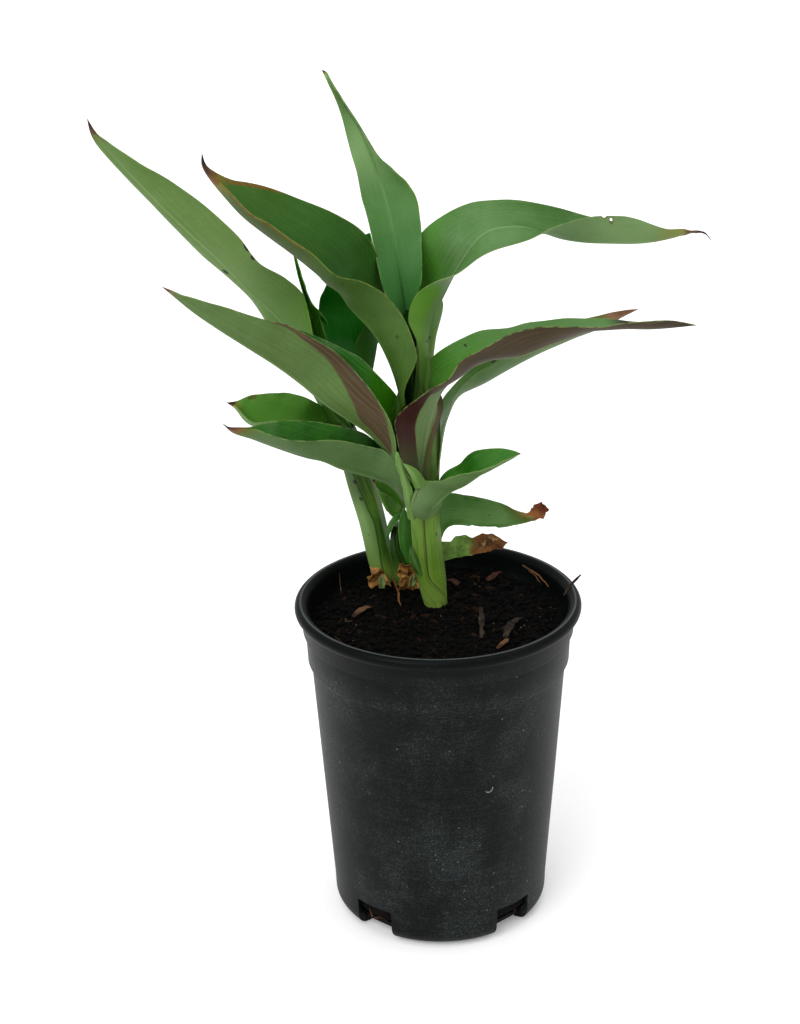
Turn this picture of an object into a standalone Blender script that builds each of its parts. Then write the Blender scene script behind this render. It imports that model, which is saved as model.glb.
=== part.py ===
"""Young canna lily in a round, black nursery pot.

The pot stands on the flat underside of its floor, at z = 0, with its axis on the Z axis. Two leafy stems
and a small side shoot stand in the soil. Each leaf is a thin blade, folded along its midrib. Blade and limb
sizes are in millimetres and degrees, and the pot's are in metres.
"""

import math
from dataclasses import dataclass

import bmesh
import bpy
import numpy as np
from mathutils import Vector

MM = 0.001
GAP = 0.0003

# Pot, metres.
RIM_RADIUS = 0.0825
RIM_BEAD = 0.0035
POT_HEIGHT = 0.1965
SKIRT_RADIUS = 0.0780
SKIRT_FOOT = 0.1787
COLLAR_RADIUS = 0.0756
COLLAR_FOOT = 0.1601
BODY_TOP_RADIUS = 0.0737
BODY_FOOT_RADIUS = 0.0636
BODY_FOOT = 0.018
BASE_RADIUS = 0.0545
BASE_BEVEL = 0.0028
BODY_FOOT_CURVE = 0.0014
BODY_FOOT_CURVE_HEIGHT = 0.0085
COLLAR_STEP = 0.0012
COLLAR_FLARE = 0.0008
SKIRT_STEP = 0.0010
LIP_FLARE = 0.0012
LIP_DEPTH = 0.0015
WALL = 0.0018
FLOOR = 0.0020
POT_SIDES = 48

# Drain notches through the corner between wall and floor, metres and degrees.
NOTCH_COUNT = 4
NOTCH_FIRST_ANGLE = -131.0
NOTCH_WIDTH = 0.022
NOTCH_FOOT = 0.0030
NOTCH_HEIGHT = 0.0115
NOTCH_INNER_RADIUS = 0.0500
NOTCH_LENGTH = 0.025

# Soil, metres.
SOIL_TOP = 0.184
SOIL_CROWN = 0.0012
SOIL_RINGS = 5
SOIL_WALL_GAP = 0.0008
SOIL_FOOT_INSET = 0.0035
SOIL_FOOT_CURVE = 0.0120

BLADE_THICKNESS = 0.8
BLADE_ROWS = 16
BLADE_STRIPS = 2
BLADE_CUP = 8.0
TIP_HALF_WIDTH = 0.6
FLAT_HALF_WIDTH = 5.0
LIMB_SIDES = 12
LIMB_ROWS = 12
CURVE_STEPS = 40

POT_BLACK = (0.018, 0.020, 0.022)
SOIL_BROWN = (0.020, 0.014, 0.010)
STEM_GREEN = (0.16, 0.29, 0.07)
LEAF_GREEN = (0.08, 0.22, 0.05)
WITHERED_BROWN = (0.30, 0.17, 0.07)


@dataclass(frozen=True)
class Limb:
    """A tapering stem through its centres, each (x, y, z, radius) in millimetres, foot first."""

    name: str
    centres: tuple
    colour: tuple = STEM_GREEN
    flat_foot: bool = True


@dataclass(frozen=True)
class Blade:
    """A leaf, in millimetres and degrees.

    midrib holds the points that its midrib runs through, foot first. left and right are its greatest
    half-widths, as seen from foot to tip with the upper face up. The lifts say how far each half is raised
    from flat, at even steps along the leaf. facing is the heading that the leaf leans towards, where it
    isn't the way from foot to tip.
    """

    name: str
    midrib: tuple
    left: float
    right: float
    left_lift: tuple
    right_lift: tuple
    widest: float = 0.42
    taper: float = 0.9
    foot: float = 0.2
    facing: float | None = None
    colour: tuple = LEAF_GREEN


STEMS = (
    Limb(
        "stem_front",
        (
            (-0.7, 19, 184.3, 6.3),
            (-2.6, 19, 197, 7.7),
            (-4.6, 19, 212, 8.2),
            (-6.4, 19.5, 233, 7.8),
            (-6.8, 20, 255, 8.0),
            (-6.2, 20.5, 280, 8.6),
            (-5.8, 21, 305, 7.6),
            (-7.0, 22.5, 328, 6.0),
            (-9.5, 24, 344, 4.6),
        ),
    ),
    Limb(
        "stem_back",
        (
            (-30, 54, 184.3, 7.2),
            (-34, 54, 203, 7.4),
            (-37.5, 55, 222, 7.6),
            (-43.6, 56, 247, 8.0),
            (-48.4, 56, 266, 7.2),
            (-53.8, 57, 284, 5.4),
        ),
    ),
    Limb(
        "shoot_small",
        (
            (-19.5, 46, 184.3, 5.2),
            (-21.0, 45, 200, 4.8),
            (-22.3, 44, 213, 4.4),
            (-21.6, 43, 224, 3.4),
        ),
    ),
)

STUB = Limb(
    "leaf_stub",
    (
        (4.7, 24.1, 202, 2.6),
        (12, 31, 208.5, 4.8),
        (22, 38, 211, 5.4),
        (32, 39.5, 212, 4.6),
        (42.4, 41, 213.4, 2.2),
    ),
    WITHERED_BROWN,
    False,
)

BLADES = (
    Blade(
        "leaf_top",
        (
            (-10.2, 25.2, 344.6), (-14, 29, 366), (-20, 31, 394),
            (-26, 34, 421), (-37, 36, 449), (-58, 33, 493),
        ),
        15, 17, (0, 15, 15, 15, 20), (0, 15, 20, 20, 20),
        widest=0.45, taper=1.0, facing=90.0,
    ),
    Blade(
        "leaf_upper_left",
        (
            (-13.2, 16.6, 306), (-21, 8, 326), (-32, 4, 348), (-57, 2, 382),
            (-78, 0, 401), (-101, -2, 423), (-122, -2, 456),
        ),
        27, 33, (0, 70, 40, 32, 50), (0, 20, 64, 68, 70),
        widest=0.45, foot=0.1,
    ),
    Blade(
        "leaf_upper_right",
        (
            (-0.2, 22.8, 328), (3.5, 24, 352), (8, 24, 377), (17, 24, 395),
            (40, 28, 407), (87, 34, 396), (114, 36, 393), (154, 36, 396),
        ),
        26, 19, (0, 25, 20, 25, 30), (0, 10, -20, 80, 80),
        widest=0.38, taper=0.75, foot=0.1,
    ),
    Blade(
        "leaf_left",
        (
            (-14.6, 15.0, 264), (-24, 6, 281), (-47, -2, 302),
            (-67, -7, 325), (-99, -13, 352), (-145, -18, 390),
        ),
        30, 26, (0, 70, 70, 55, 50), (0, 55, 66, 55, 60),
        taper=1.0, foot=0.1,
    ),
    Blade(
        "leaf_right",
        (
            (-6, 10.9, 270), (-5, 4, 292), (3, 1, 316), (19, 0, 335),
            (41, -4, 342), (88, -14, 360), (140, -20, 364),
        ),
        27, 24, (-70, -30, 45, 30, 30), (50, 42, 56, 40, 45),
        widest=0.48, foot=0.1,
    ),
    Blade(
        "leaf_right_back",
        ((1.6, 25.4, 270), (6, 29, 288), (13, 33, 305), (33, 38, 315), (68, 46, 328), (117, 54, 350)),
        18, 18, (0, 30, 45, 40, 50), (0, 0, 65, 65, 60),
        widest=0.55, taper=0.85, foot=0.1,
    ),
    Blade(
        "leaf_low_left",
        ((-13.5, 14, 243), (-20, 6, 261), (-40, 2, 273), (-67, -6, 285), (-94, -12, 298), (-117, -18, 311)),
        18, 20, (0, 50, 58, 45, 45), (0, 0, 68, 68, 60),
        widest=0.5, taper=0.8, foot=0.1,
    ),
    Blade(
        "leaf_low_right",
        ((-3.4, 11.7, 245), (3, 3, 256), (15, -2, 266), (34, -10, 281), (46, -14, 290)),
        16, 15, (-30, 30, 60, 55, 50), (0, 50, 38, 35, 35),
        widest=0.45, taper=0.7, foot=0.1,
    ),
    Blade(
        "leaf_curled",
        (
            (1.6, 23.2, 226), (8, 27, 234), (20, 28, 238), (37, 28, 236),
            (51, 28, 233), (61, 28, 236), (65, 28, 241),
        ),
        11, 11, (0, -50, -50, -50, -50), (0, 65, 70, 70, 70),
        widest=0.45, taper=0.5,
    ),
    Blade(
        "leaf_high_left",
        (
            (-54.6, 56.4, 284.9), (-63, 51, 309), (-76, 50, 333), (-103, 48, 357),
            (-127, 44, 387), (-155, 38, 422), (-185, 28, 470),
        ),
        24, 18, (0, 68, 72, 72, 65), (0, -10, -28, -32, -20),
        taper=1.1, foot=0.1,
    ),
    Blade(
        "leaf_back_left",
        ((-51.8, 49.8, 253), (-66, 44, 268), (-86, 39, 280), (-101, 35, 289), (-118, 31, 306)),
        16, 20, (0, 30, 45, 40, 40), (0, 20, 75, 75, 70),
        widest=0.5, taper=0.55, foot=0.1,
    ),
    Blade(
        "leaf_back_upright",
        ((-46.6, 60.2, 279), (-38, 62, 307), (-33, 62, 326), (-32, 62, 346), (-38, 64, 378)),
        34, 16, (0, 10, 20, 20, 20), (0, 90, 95, 85, 60),
        widest=0.45, taper=0.7, foot=0.1, facing=60.0,
    ),
    Blade(
        "leaf_rolled",
        ((-54.2, 60.6, 284.7), (-56, 60, 305), (-61, 59, 329), (-67, 59, 351), (-76, 59, 382)),
        7, 7, (0, 40, 40, 40, 40), (0, 40, 40, 40, 40),
        widest=0.3, taper=1.6, foot=0.1, facing=-120.0,
    ),
    Blade(
        "leaf_shoot",
        ((-21.5, 42.8, 224.6), (-21.5, 40, 232), (-25, 38, 241), (-30, 38, 248), (-38, 39, 255)),
        9, 9, (0, 30, 20, 20, 30), (0, 30, 50, 50, 40),
        widest=0.5, taper=0.7, foot=0.1,
    ),
    Blade(
        "leaf_shoot_folded",
        ((-27.0, 40.6, 213), (-30, 37, 221), (-27, 34, 227), (-22, 31, 233)),
        5, 5, (0, 40, 50, 50, 50), (0, 40, 50, 50, 50),
        widest=0.45, taper=0.7, foot=0.1, facing=-40.0,
    ),
    Blade(
        "leaf_bract",
        ((-11.5, 22.5, 204), (-15.5, 24, 217), (-17, 26, 229), (-16.5, 27, 240)),
        5, 5, (0, 0, 10, 10, 10), (0, 0, 10, 10, 10),
        widest=0.45, taper=0.7, facing=170.0,
    ),
)

SCALES = (
    Blade(
        "dried_scale_left",
        ((-33.2, 46.3, 184.6), (-34.2, 45.6, 190), (-34.6, 44.2, 195.5)),
        7, 7, (0, 0, 0), (0, 0, 0),
        widest=0.4, taper=0.5, foot=0.8, facing=-120.0, colour=WITHERED_BROWN,
    ),
    Blade(
        "dried_scale_middle",
        ((-15.9, 40.2, 184.7), (-15.9, 38.9, 191), (-15.8, 37.6, 197)),
        6, 6, (0, 0, 0), (0, 0, 0),
        widest=0.4, taper=0.5, foot=0.8, facing=-90.0, colour=WITHERED_BROWN,
    ),
)


def clear_scene():
    """Removes what the start-up scene holds."""
    for thing in list(bpy.data.objects):
        bpy.data.objects.remove(thing, do_unlink=True)


def material(name, colour, roughness):
    """A plain Principled material."""
    made = bpy.data.materials.new(name)
    made.use_nodes = True
    shader = made.node_tree.nodes["Principled BSDF"]
    shader.inputs["Base Color"].default_value = (*colour, 1.0)
    shader.inputs["Roughness"].default_value = roughness
    shader.inputs["Metallic"].default_value = 0.0
    return made


def add_mesh_object(name, work, colour, roughness, parent, smooth_angle=40.0):
    """Turns a bmesh into a named, shaded object under the parent."""
    bmesh.ops.recalc_face_normals(work, faces=work.faces)
    mesh = bpy.data.meshes.new(name)
    work.to_mesh(mesh)
    work.free()
    mesh.shade_smooth()
    mesh.set_sharp_from_angle(angle=math.radians(smooth_angle))
    mesh.materials.append(material(name, colour, roughness))
    made = bpy.data.objects.new(name, mesh)
    bpy.context.collection.objects.link(made)
    made.parent = parent
    return made


def spin_profile(profile, sides):
    """Turns a closed half-profile of (radius, height) points about the Z axis into a bmesh."""
    work = bmesh.new()
    corners = [work.verts.new((radius, 0.0, height)) for radius, height in profile]
    edges = [work.edges.new(pair) for pair in zip(corners, corners[1:])]
    bmesh.ops.spin(
        work,
        geom=corners + edges,
        cent=(0.0, 0.0, 0.0),
        axis=(0.0, 0.0, 1.0),
        angle=math.tau,
        steps=sides,
        use_merge=True,
    )
    bmesh.ops.remove_doubles(work, verts=work.verts, dist=1e-6)
    return work


def arc(centre, radius, start, end, steps):
    """Points on an arc in the profile's plane, angles in degrees."""
    turn = np.radians(np.linspace(start, end, steps + 1))
    return [(centre[0] + radius * math.cos(a), centre[1] + radius * math.sin(a)) for a in turn]


def body_radius(height):
    """Outer radius of the pot's straight body at a height."""
    share = (height - BODY_FOOT) / (COLLAR_FOOT - BODY_FOOT)
    return BODY_FOOT_RADIUS + share * (BODY_TOP_RADIUS - BODY_FOOT_RADIUS)


def inner_radius(height):
    """Inner radius of the pot, which runs straight from floor to rim."""
    return body_radius(height) - WALL


def pot_profile():
    """The pot's closed half-section, from the underside's centre round the rim to the floor's centre."""
    bead = (RIM_RADIUS - RIM_BEAD, POT_HEIGHT - RIM_BEAD)
    corner = 0.5 * (BASE_RADIUS + body_radius(BODY_FOOT))
    outside = [
        (0.0, 0.0),
        (BASE_RADIUS, 0.0),
        (corner, BASE_BEVEL),
        (body_radius(BODY_FOOT) - BODY_FOOT_CURVE, BODY_FOOT_CURVE_HEIGHT),
        (body_radius(BODY_FOOT), BODY_FOOT),
        (BODY_TOP_RADIUS, COLLAR_FOOT),
        (COLLAR_RADIUS, COLLAR_FOOT + COLLAR_STEP),
        (COLLAR_RADIUS + COLLAR_FLARE, SKIRT_FOOT),
        (SKIRT_RADIUS, SKIRT_FOOT + SKIRT_STEP),
        (SKIRT_RADIUS + COLLAR_FLARE, POT_HEIGHT - 2 * RIM_BEAD),
    ]
    rim = arc(bead, RIM_BEAD, -80.0, 90.0, 5)
    inside = [
        (inner_radius(POT_HEIGHT) + LIP_FLARE, POT_HEIGHT),
        (inner_radius(POT_HEIGHT), POT_HEIGHT - LIP_DEPTH),
        (inner_radius(BODY_FOOT), BODY_FOOT),
        (inner_radius(BODY_FOOT) - 1.5 * BODY_FOOT_CURVE, BODY_FOOT_CURVE_HEIGHT),
        (BASE_RADIUS - WALL, FLOOR),
        (0.0, FLOOR),
    ]
    return outside + rim + inside


def notch_cutter(number, parent):
    """A block that cuts one drain notch, lying along the pot's radius."""
    work = bmesh.new()
    bmesh.ops.create_cube(work, size=1.0)
    size = Vector((NOTCH_LENGTH, NOTCH_WIDTH, NOTCH_HEIGHT - NOTCH_FOOT))
    bmesh.ops.scale(work, vec=size, verts=work.verts)
    place = Vector((NOTCH_INNER_RADIUS + NOTCH_LENGTH / 2, 0.0, (NOTCH_FOOT + NOTCH_HEIGHT) / 2))
    bmesh.ops.translate(work, vec=place, verts=work.verts)
    cutter = add_mesh_object(f"notch_cutter_{number}", work, POT_BLACK, 0.5, parent)
    cutter.rotation_euler.z = math.radians(NOTCH_FIRST_ANGLE + number * 360.0 / NOTCH_COUNT)
    cutter.hide_render = True
    cutter.display_type = "WIRE"
    return cutter


def build_pot(parent):
    """The open pot, with its beaded rim, collar and four drain notches."""
    pot = add_mesh_object("pot", spin_profile(pot_profile(), POT_SIDES), POT_BLACK, 0.45, parent)
    for number in range(NOTCH_COUNT):
        cut = pot.modifiers.new(f"notch_{number}", "BOOLEAN")
        cut.operation = "DIFFERENCE"
        cut.solver = "EXACT"
        cut.object = notch_cutter(number, parent)


def build_soil(parent):
    """The plug of soil inside the pot, clear of its wall and floor, with a slightly crowned top."""
    foot = FLOOR + GAP
    wall = [
        (BASE_RADIUS - SOIL_FOOT_INSET, foot),
        (inner_radius(BODY_FOOT) - SOIL_FOOT_INSET, SOIL_FOOT_CURVE),
        (inner_radius(BODY_FOOT) - SOIL_WALL_GAP, BODY_FOOT + SOIL_FOOT_INSET),
        (inner_radius(SOIL_TOP) - SOIL_WALL_GAP, SOIL_TOP - SOIL_CROWN),
    ]
    top = []
    for ring in range(1, SOIL_RINGS):
        share = 1.0 - ring / SOIL_RINGS
        height = SOIL_TOP - SOIL_CROWN * max(0.0, 2.0 * share - 1.0)
        top.append((inner_radius(SOIL_TOP) * share, height))
    profile = [(0.0, foot), *wall, *top, (0.0, SOIL_TOP)]
    add_mesh_object("root_ball", spin_profile(profile, POT_SIDES), SOIL_BROWN, 0.95, parent)


def smooth_curve(points, count):
    """Samples evenly spaced by length on a centripetal Catmull-Rom curve through the points."""
    points = np.array(points, float)
    ends = np.vstack([2 * points[0] - points[1], points, 2 * points[-1] - points[-2]])
    samples = []
    for a, b, c, d in zip(ends, ends[1:], ends[2:], ends[3:]):
        knots = [0.0]
        for start, end in ((a, b), (b, c), (c, d)):
            knots.append(knots[-1] + math.sqrt(np.linalg.norm(end - start)))
        for u in np.linspace(knots[1], knots[2], CURVE_STEPS, endpoint=False):
            level = [a, b, c, d]
            for depth in (1, 2, 3):
                first = 1 if depth == 3 else 0
                level = blend_level(level, knots, u, depth, first)
            samples.append(level[0])
    samples.append(points[-1])
    samples = np.array(samples)
    run = np.concatenate([[0.0], np.cumsum(np.linalg.norm(np.diff(samples, axis=0), axis=1))])
    even = np.linspace(0.0, run[-1], count)
    return np.stack([np.interp(even, run, samples[:, k]) for k in range(samples.shape[1])], axis=1)


def blend_level(level, knots, u, depth, first):
    """One level of the Catmull-Rom pyramid: each pair of neighbours blended at u."""
    span = 2 if depth == 2 else 1
    blended = []
    for i in range(len(level) - 1):
        low = knots[i + first]
        high = knots[i + first + span]
        blended.append(((high - u) * level[i] + (u - low) * level[i + 1]) / (high - low))
    return blended


def unit(vectors):
    """Vectors scaled to length one."""
    return vectors / np.linalg.norm(vectors, axis=-1, keepdims=True)


def sweep_mesh(rings):
    """Joins equal rings of points, in millimetres, into a closed body with flat ends.

    The second half of each ring has its diagonals mirrored, so that a thin blade's two faces stay level.
    """
    work = bmesh.new()
    rows = [[work.verts.new(Vector(point) * MM) for point in ring] for ring in rings]
    for low, high in zip(rows, rows[1:]):
        for i in range(len(low)):
            j = (i + 1) % len(low)
            if i < len(low) // 2:
                work.faces.new((low[i], low[j], high[j]))
                work.faces.new((low[i], high[j], high[i]))
            else:
                work.faces.new((low[i], low[j], high[i]))
                work.faces.new((low[j], high[j], high[i]))
    work.faces.new(rows[0][::-1])
    work.faces.new(rows[-1])
    return work


def build_limb(limb, parent):
    """A round, tapering limb along its centres, cut level at its foot where it stands in the soil."""
    line = smooth_curve(limb.centres, LIMB_ROWS)
    centres = line[:, :3]
    heading = unit(np.gradient(centres, axis=0))
    if limb.flat_foot:
        heading[0] = (0.0, 0.0, 1.0)
    side = unit(np.cross(heading, (0.0, 1.0, 0.0)))
    front = np.cross(heading, side)
    turns = np.linspace(0.0, math.tau, LIMB_SIDES, endpoint=False)
    rings = []
    for centre, radius, s, f in zip(centres, line[:, 3], side, front):
        rings.append([centre + radius * (math.cos(a) * s + math.sin(a) * f) for a in turns])
    add_mesh_object(limb.name, sweep_mesh(rings), limb.colour, 0.5, parent)


def at_stations(values, along):
    """Values given at even steps from 0 to 1, eased between them."""
    values = np.array(values, float)
    place = np.clip(along, 0.0, 1.0) * (len(values) - 1)
    index = np.minimum(place.astype(int), len(values) - 2)
    share = place - index
    share = share * share * (3.0 - 2.0 * share)
    return values[index] * (1.0 - share) + values[index + 1] * share


def blade_outline(blade, along):
    """Half-width along the leaf as a share of its greatest: narrow foot, broad middle, drawn-out tip."""
    rise = blade.taper * blade.widest / (1.0 - blade.widest)
    swell = (along / blade.widest) ** rise * ((1.0 - along) / (1.0 - blade.widest)) ** blade.taper
    foot = blade.foot * (1.0 - np.minimum(along / blade.widest, 1.0)) ** 2
    return swell + foot


def blade_frame(blade, midrib):
    """Along-leaf, rightward and upper-face directions at each point of the midrib."""
    along = unit(np.gradient(midrib, axis=0))
    if blade.facing is None:
        heading = midrib[-1] - midrib[0]
        heading[2] = 0.0
        heading = unit(heading)
    else:
        turn = math.radians(blade.facing)
        heading = np.array((math.cos(turn), math.sin(turn), 0.0))
    right = unit(np.cross(along, np.array((0.0, 0.0, 1.0)) - heading))
    return along, right, np.cross(right, along)


def blade_surface(blade):
    """Grid of points on the leaf's middle surface and the upper-face direction at each.

    The fold opens out flat where the leaf is narrow, at its foot and tip.
    """
    share = np.linspace(0.0, 1.0, BLADE_ROWS)
    midrib = smooth_curve(blade.midrib, BLADE_ROWS)
    along, right, upper = blade_frame(blade, midrib)
    outline = blade_outline(blade, share)
    columns = {0: midrib}
    for sign, width, lifts in ((-1, blade.left, blade.left_lift), (1, blade.right, blade.right_lift)):
        opened = np.minimum(width * outline / FLAT_HALF_WIDTH, 1.0)
        lift = np.radians(at_stations(lifts, share)) * opened
        step = np.maximum(width * outline, TIP_HALF_WIDTH) / BLADE_STRIPS
        place = midrib
        for strip in range(BLADE_STRIPS):
            angle = lift + math.radians(BLADE_CUP) * ((2 * strip + 1) / BLADE_STRIPS - 1.0)
            outward = sign * right * np.cos(angle)[:, None] + upper * np.sin(angle)[:, None]
            place = place + step[:, None] * outward
            columns[sign * (strip + 1)] = place
    grid = np.stack([columns[key] for key in sorted(columns)], axis=1)
    across = unit(np.gradient(grid, axis=1))
    normals = unit(np.cross(across, along[:, None, :]))
    return grid, normals


def build_blade(blade, parent):
    """A leaf as a closed blade of even thickness."""
    grid, normals = blade_surface(blade)
    half = BLADE_THICKNESS / 2
    upper = grid + half * normals
    lower = grid - half * normals
    rings = [list(top) + list(bottom[::-1]) for top, bottom in zip(upper, lower)]
    add_mesh_object(blade.name, sweep_mesh(rings), blade.colour, 0.45, parent, 60.0)


def main():
    """Builds the whole plant under one empty."""
    clear_scene()
    plant = bpy.data.objects.new("canna_in_pot", None)
    bpy.context.collection.objects.link(plant)
    build_pot(plant)
    build_soil(plant)
    for limb in (*STEMS, STUB):
        build_limb(limb, plant)
    for blade in (*BLADES, *SCALES):
        build_blade(blade, plant)


main()
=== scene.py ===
"""Visual model of a young canna lily in a round, black nursery pot.

Two leafy stems and a small side shoot stand in dark potting mix. Every leaf is a folded blade that clasps
its stem at the foot. Sizes are in millimetres and degrees unless a name says otherwise, and colours are
given as the red, green and blue of a screen, 0 to 255.
"""

import logging
import math
from collections.abc import Callable
from dataclasses import dataclass
from enum import Enum

import bpy
import numpy as np
from mathutils import Matrix, Vector, noise


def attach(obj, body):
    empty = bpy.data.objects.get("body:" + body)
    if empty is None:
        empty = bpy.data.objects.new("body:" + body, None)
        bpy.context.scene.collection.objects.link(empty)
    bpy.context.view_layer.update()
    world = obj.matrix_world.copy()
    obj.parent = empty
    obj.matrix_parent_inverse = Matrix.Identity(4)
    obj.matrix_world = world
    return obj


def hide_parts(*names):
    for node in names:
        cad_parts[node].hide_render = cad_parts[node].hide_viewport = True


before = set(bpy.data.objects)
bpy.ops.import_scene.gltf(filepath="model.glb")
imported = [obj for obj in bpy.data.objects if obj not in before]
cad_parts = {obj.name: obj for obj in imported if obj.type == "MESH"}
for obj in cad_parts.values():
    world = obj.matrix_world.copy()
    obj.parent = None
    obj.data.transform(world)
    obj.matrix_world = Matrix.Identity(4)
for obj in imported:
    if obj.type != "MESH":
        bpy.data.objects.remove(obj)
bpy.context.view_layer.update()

log = logging.getLogger("canna")

Point = tuple[float, float, float]
Colour = tuple[float, float, float]

MM = 0.001
BODY = "root"
STUDIO_LIGHT = 1.15  # how much brighter a surface shows in the studio than its own colour
SHEEN = 0.012  # what its gloss adds to that
DEEPEST = 0.25  # the least share of a shown colour that sheen leaves
WIDE_SPAN = 100.0  # millimetres over the whole of the "size" layer, across a piece
LONG_SPAN = 500.0  # and along it
WELD = 1e-6  # metres: points this near are one
TINY = 1e-6  # added to a divisor that may be 0
HAIR = 1e-9  # added to a direction that may have no length


# ---------------------------------------------------------------- shader expressions


def own_colour(colour: Colour) -> tuple[float, float, float, float]:
    """Turns the colour that a surface shows in the studio's light into its own.

    Args:
        colour: Red, green and blue as shown, 0 to 255.

    Returns:
        The linear base colour, 0 to 1, with alpha 1.
    """
    shares = [max(c, 0.0) / 255.0 for c in colour]
    light = [s / 12.92 if s <= 0.04045 else ((s + 0.055) / 1.055) ** 2.4 for s in shares]
    red, green, blue = (min(max(value - SHEEN, value * DEEPEST) / STUDIO_LIGHT, 1.0) for value in light)
    return (red, green, blue, 1.0)


def sign(operation: str, swapped: bool = False) -> "Callable[[Wire, Wire | float], Wire]":
    """Makes the method for one sign of arithmetic.

    Args:
        operation: The Math node's operation.
        swapped: Whether the wire comes second.

    Returns:
        The method.
    """

    def method(wire: "Wire", other: "Wire | float") -> "Wire":
        """Adds the sign's Math node."""
        return wire.math(operation, wire, first=other) if swapped else wire.math(operation, other)

    return method


class Wire:
    """A socket in an expression: arithmetic on it adds Math nodes."""

    def __init__(self, kit: "NodeKit", socket: bpy.types.NodeSocket) -> None:
        self.kit = kit
        self.socket = socket

    def math(self, operation: str, *others: "Wire | float", first: "Wire | float | None" = None) -> "Wire":
        """Adds one Math node.

        Args:
            operation: The Math node's operation.
            *others: Its further operands.
            first: What goes into its first socket, if it isn't this wire.

        Returns:
            The node's result.
        """
        values = (self if first is None else first, *others)
        return self.kit.node("ShaderNodeMath", {"operation": operation}, dict(enumerate(values)))

    __add__ = sign("ADD")
    __sub__ = sign("SUBTRACT")
    __rsub__ = sign("SUBTRACT", swapped=True)
    __mul__ = __rmul__ = sign("MULTIPLY")
    __truediv__ = sign("DIVIDE")
    __pow__ = sign("POWER")

    def __abs__(self) -> "Wire":
        """This without its sign."""
        return self.math("ABSOLUTE")

    def sine(self) -> "Wire":
        """The sine of this, in radians."""
        return self.math("SINE")

    def step(self, low: "Wire | float", high: "Wire | float") -> "Wire":
        """Rises smoothly from 0 at low to 1 at high, or falls where low is the greater.

        Args:
            low: Where the result is 0.
            high: Where the result is 1.

        Returns:
            The eased share.
        """
        inputs = {"Value": self, "From Min": low, "From Max": high}
        return self.kit.node("ShaderNodeMapRange", {"interpolation_type": "SMOOTHSTEP"}, inputs)


@dataclass(frozen=True)
class Grain:
    """Even noise: how fine it is, how many finer octaves it has and how strong they are."""

    scale: float
    detail: float = 3.0
    rough: float = 0.6


@dataclass(frozen=True)
class Streaks:
    """Noise drawn out one way: its fineness across and along, which layer of it, and its octaves."""

    across: float
    along: float
    layer: float
    detail: float = 2.0
    rough: float = 0.6


@dataclass(frozen=True)
class Specks:
    """Scattered dots: cells per metre, a dot's radius in its cell, and the share of cells with one."""

    scale: float
    size: float
    share: float


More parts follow.
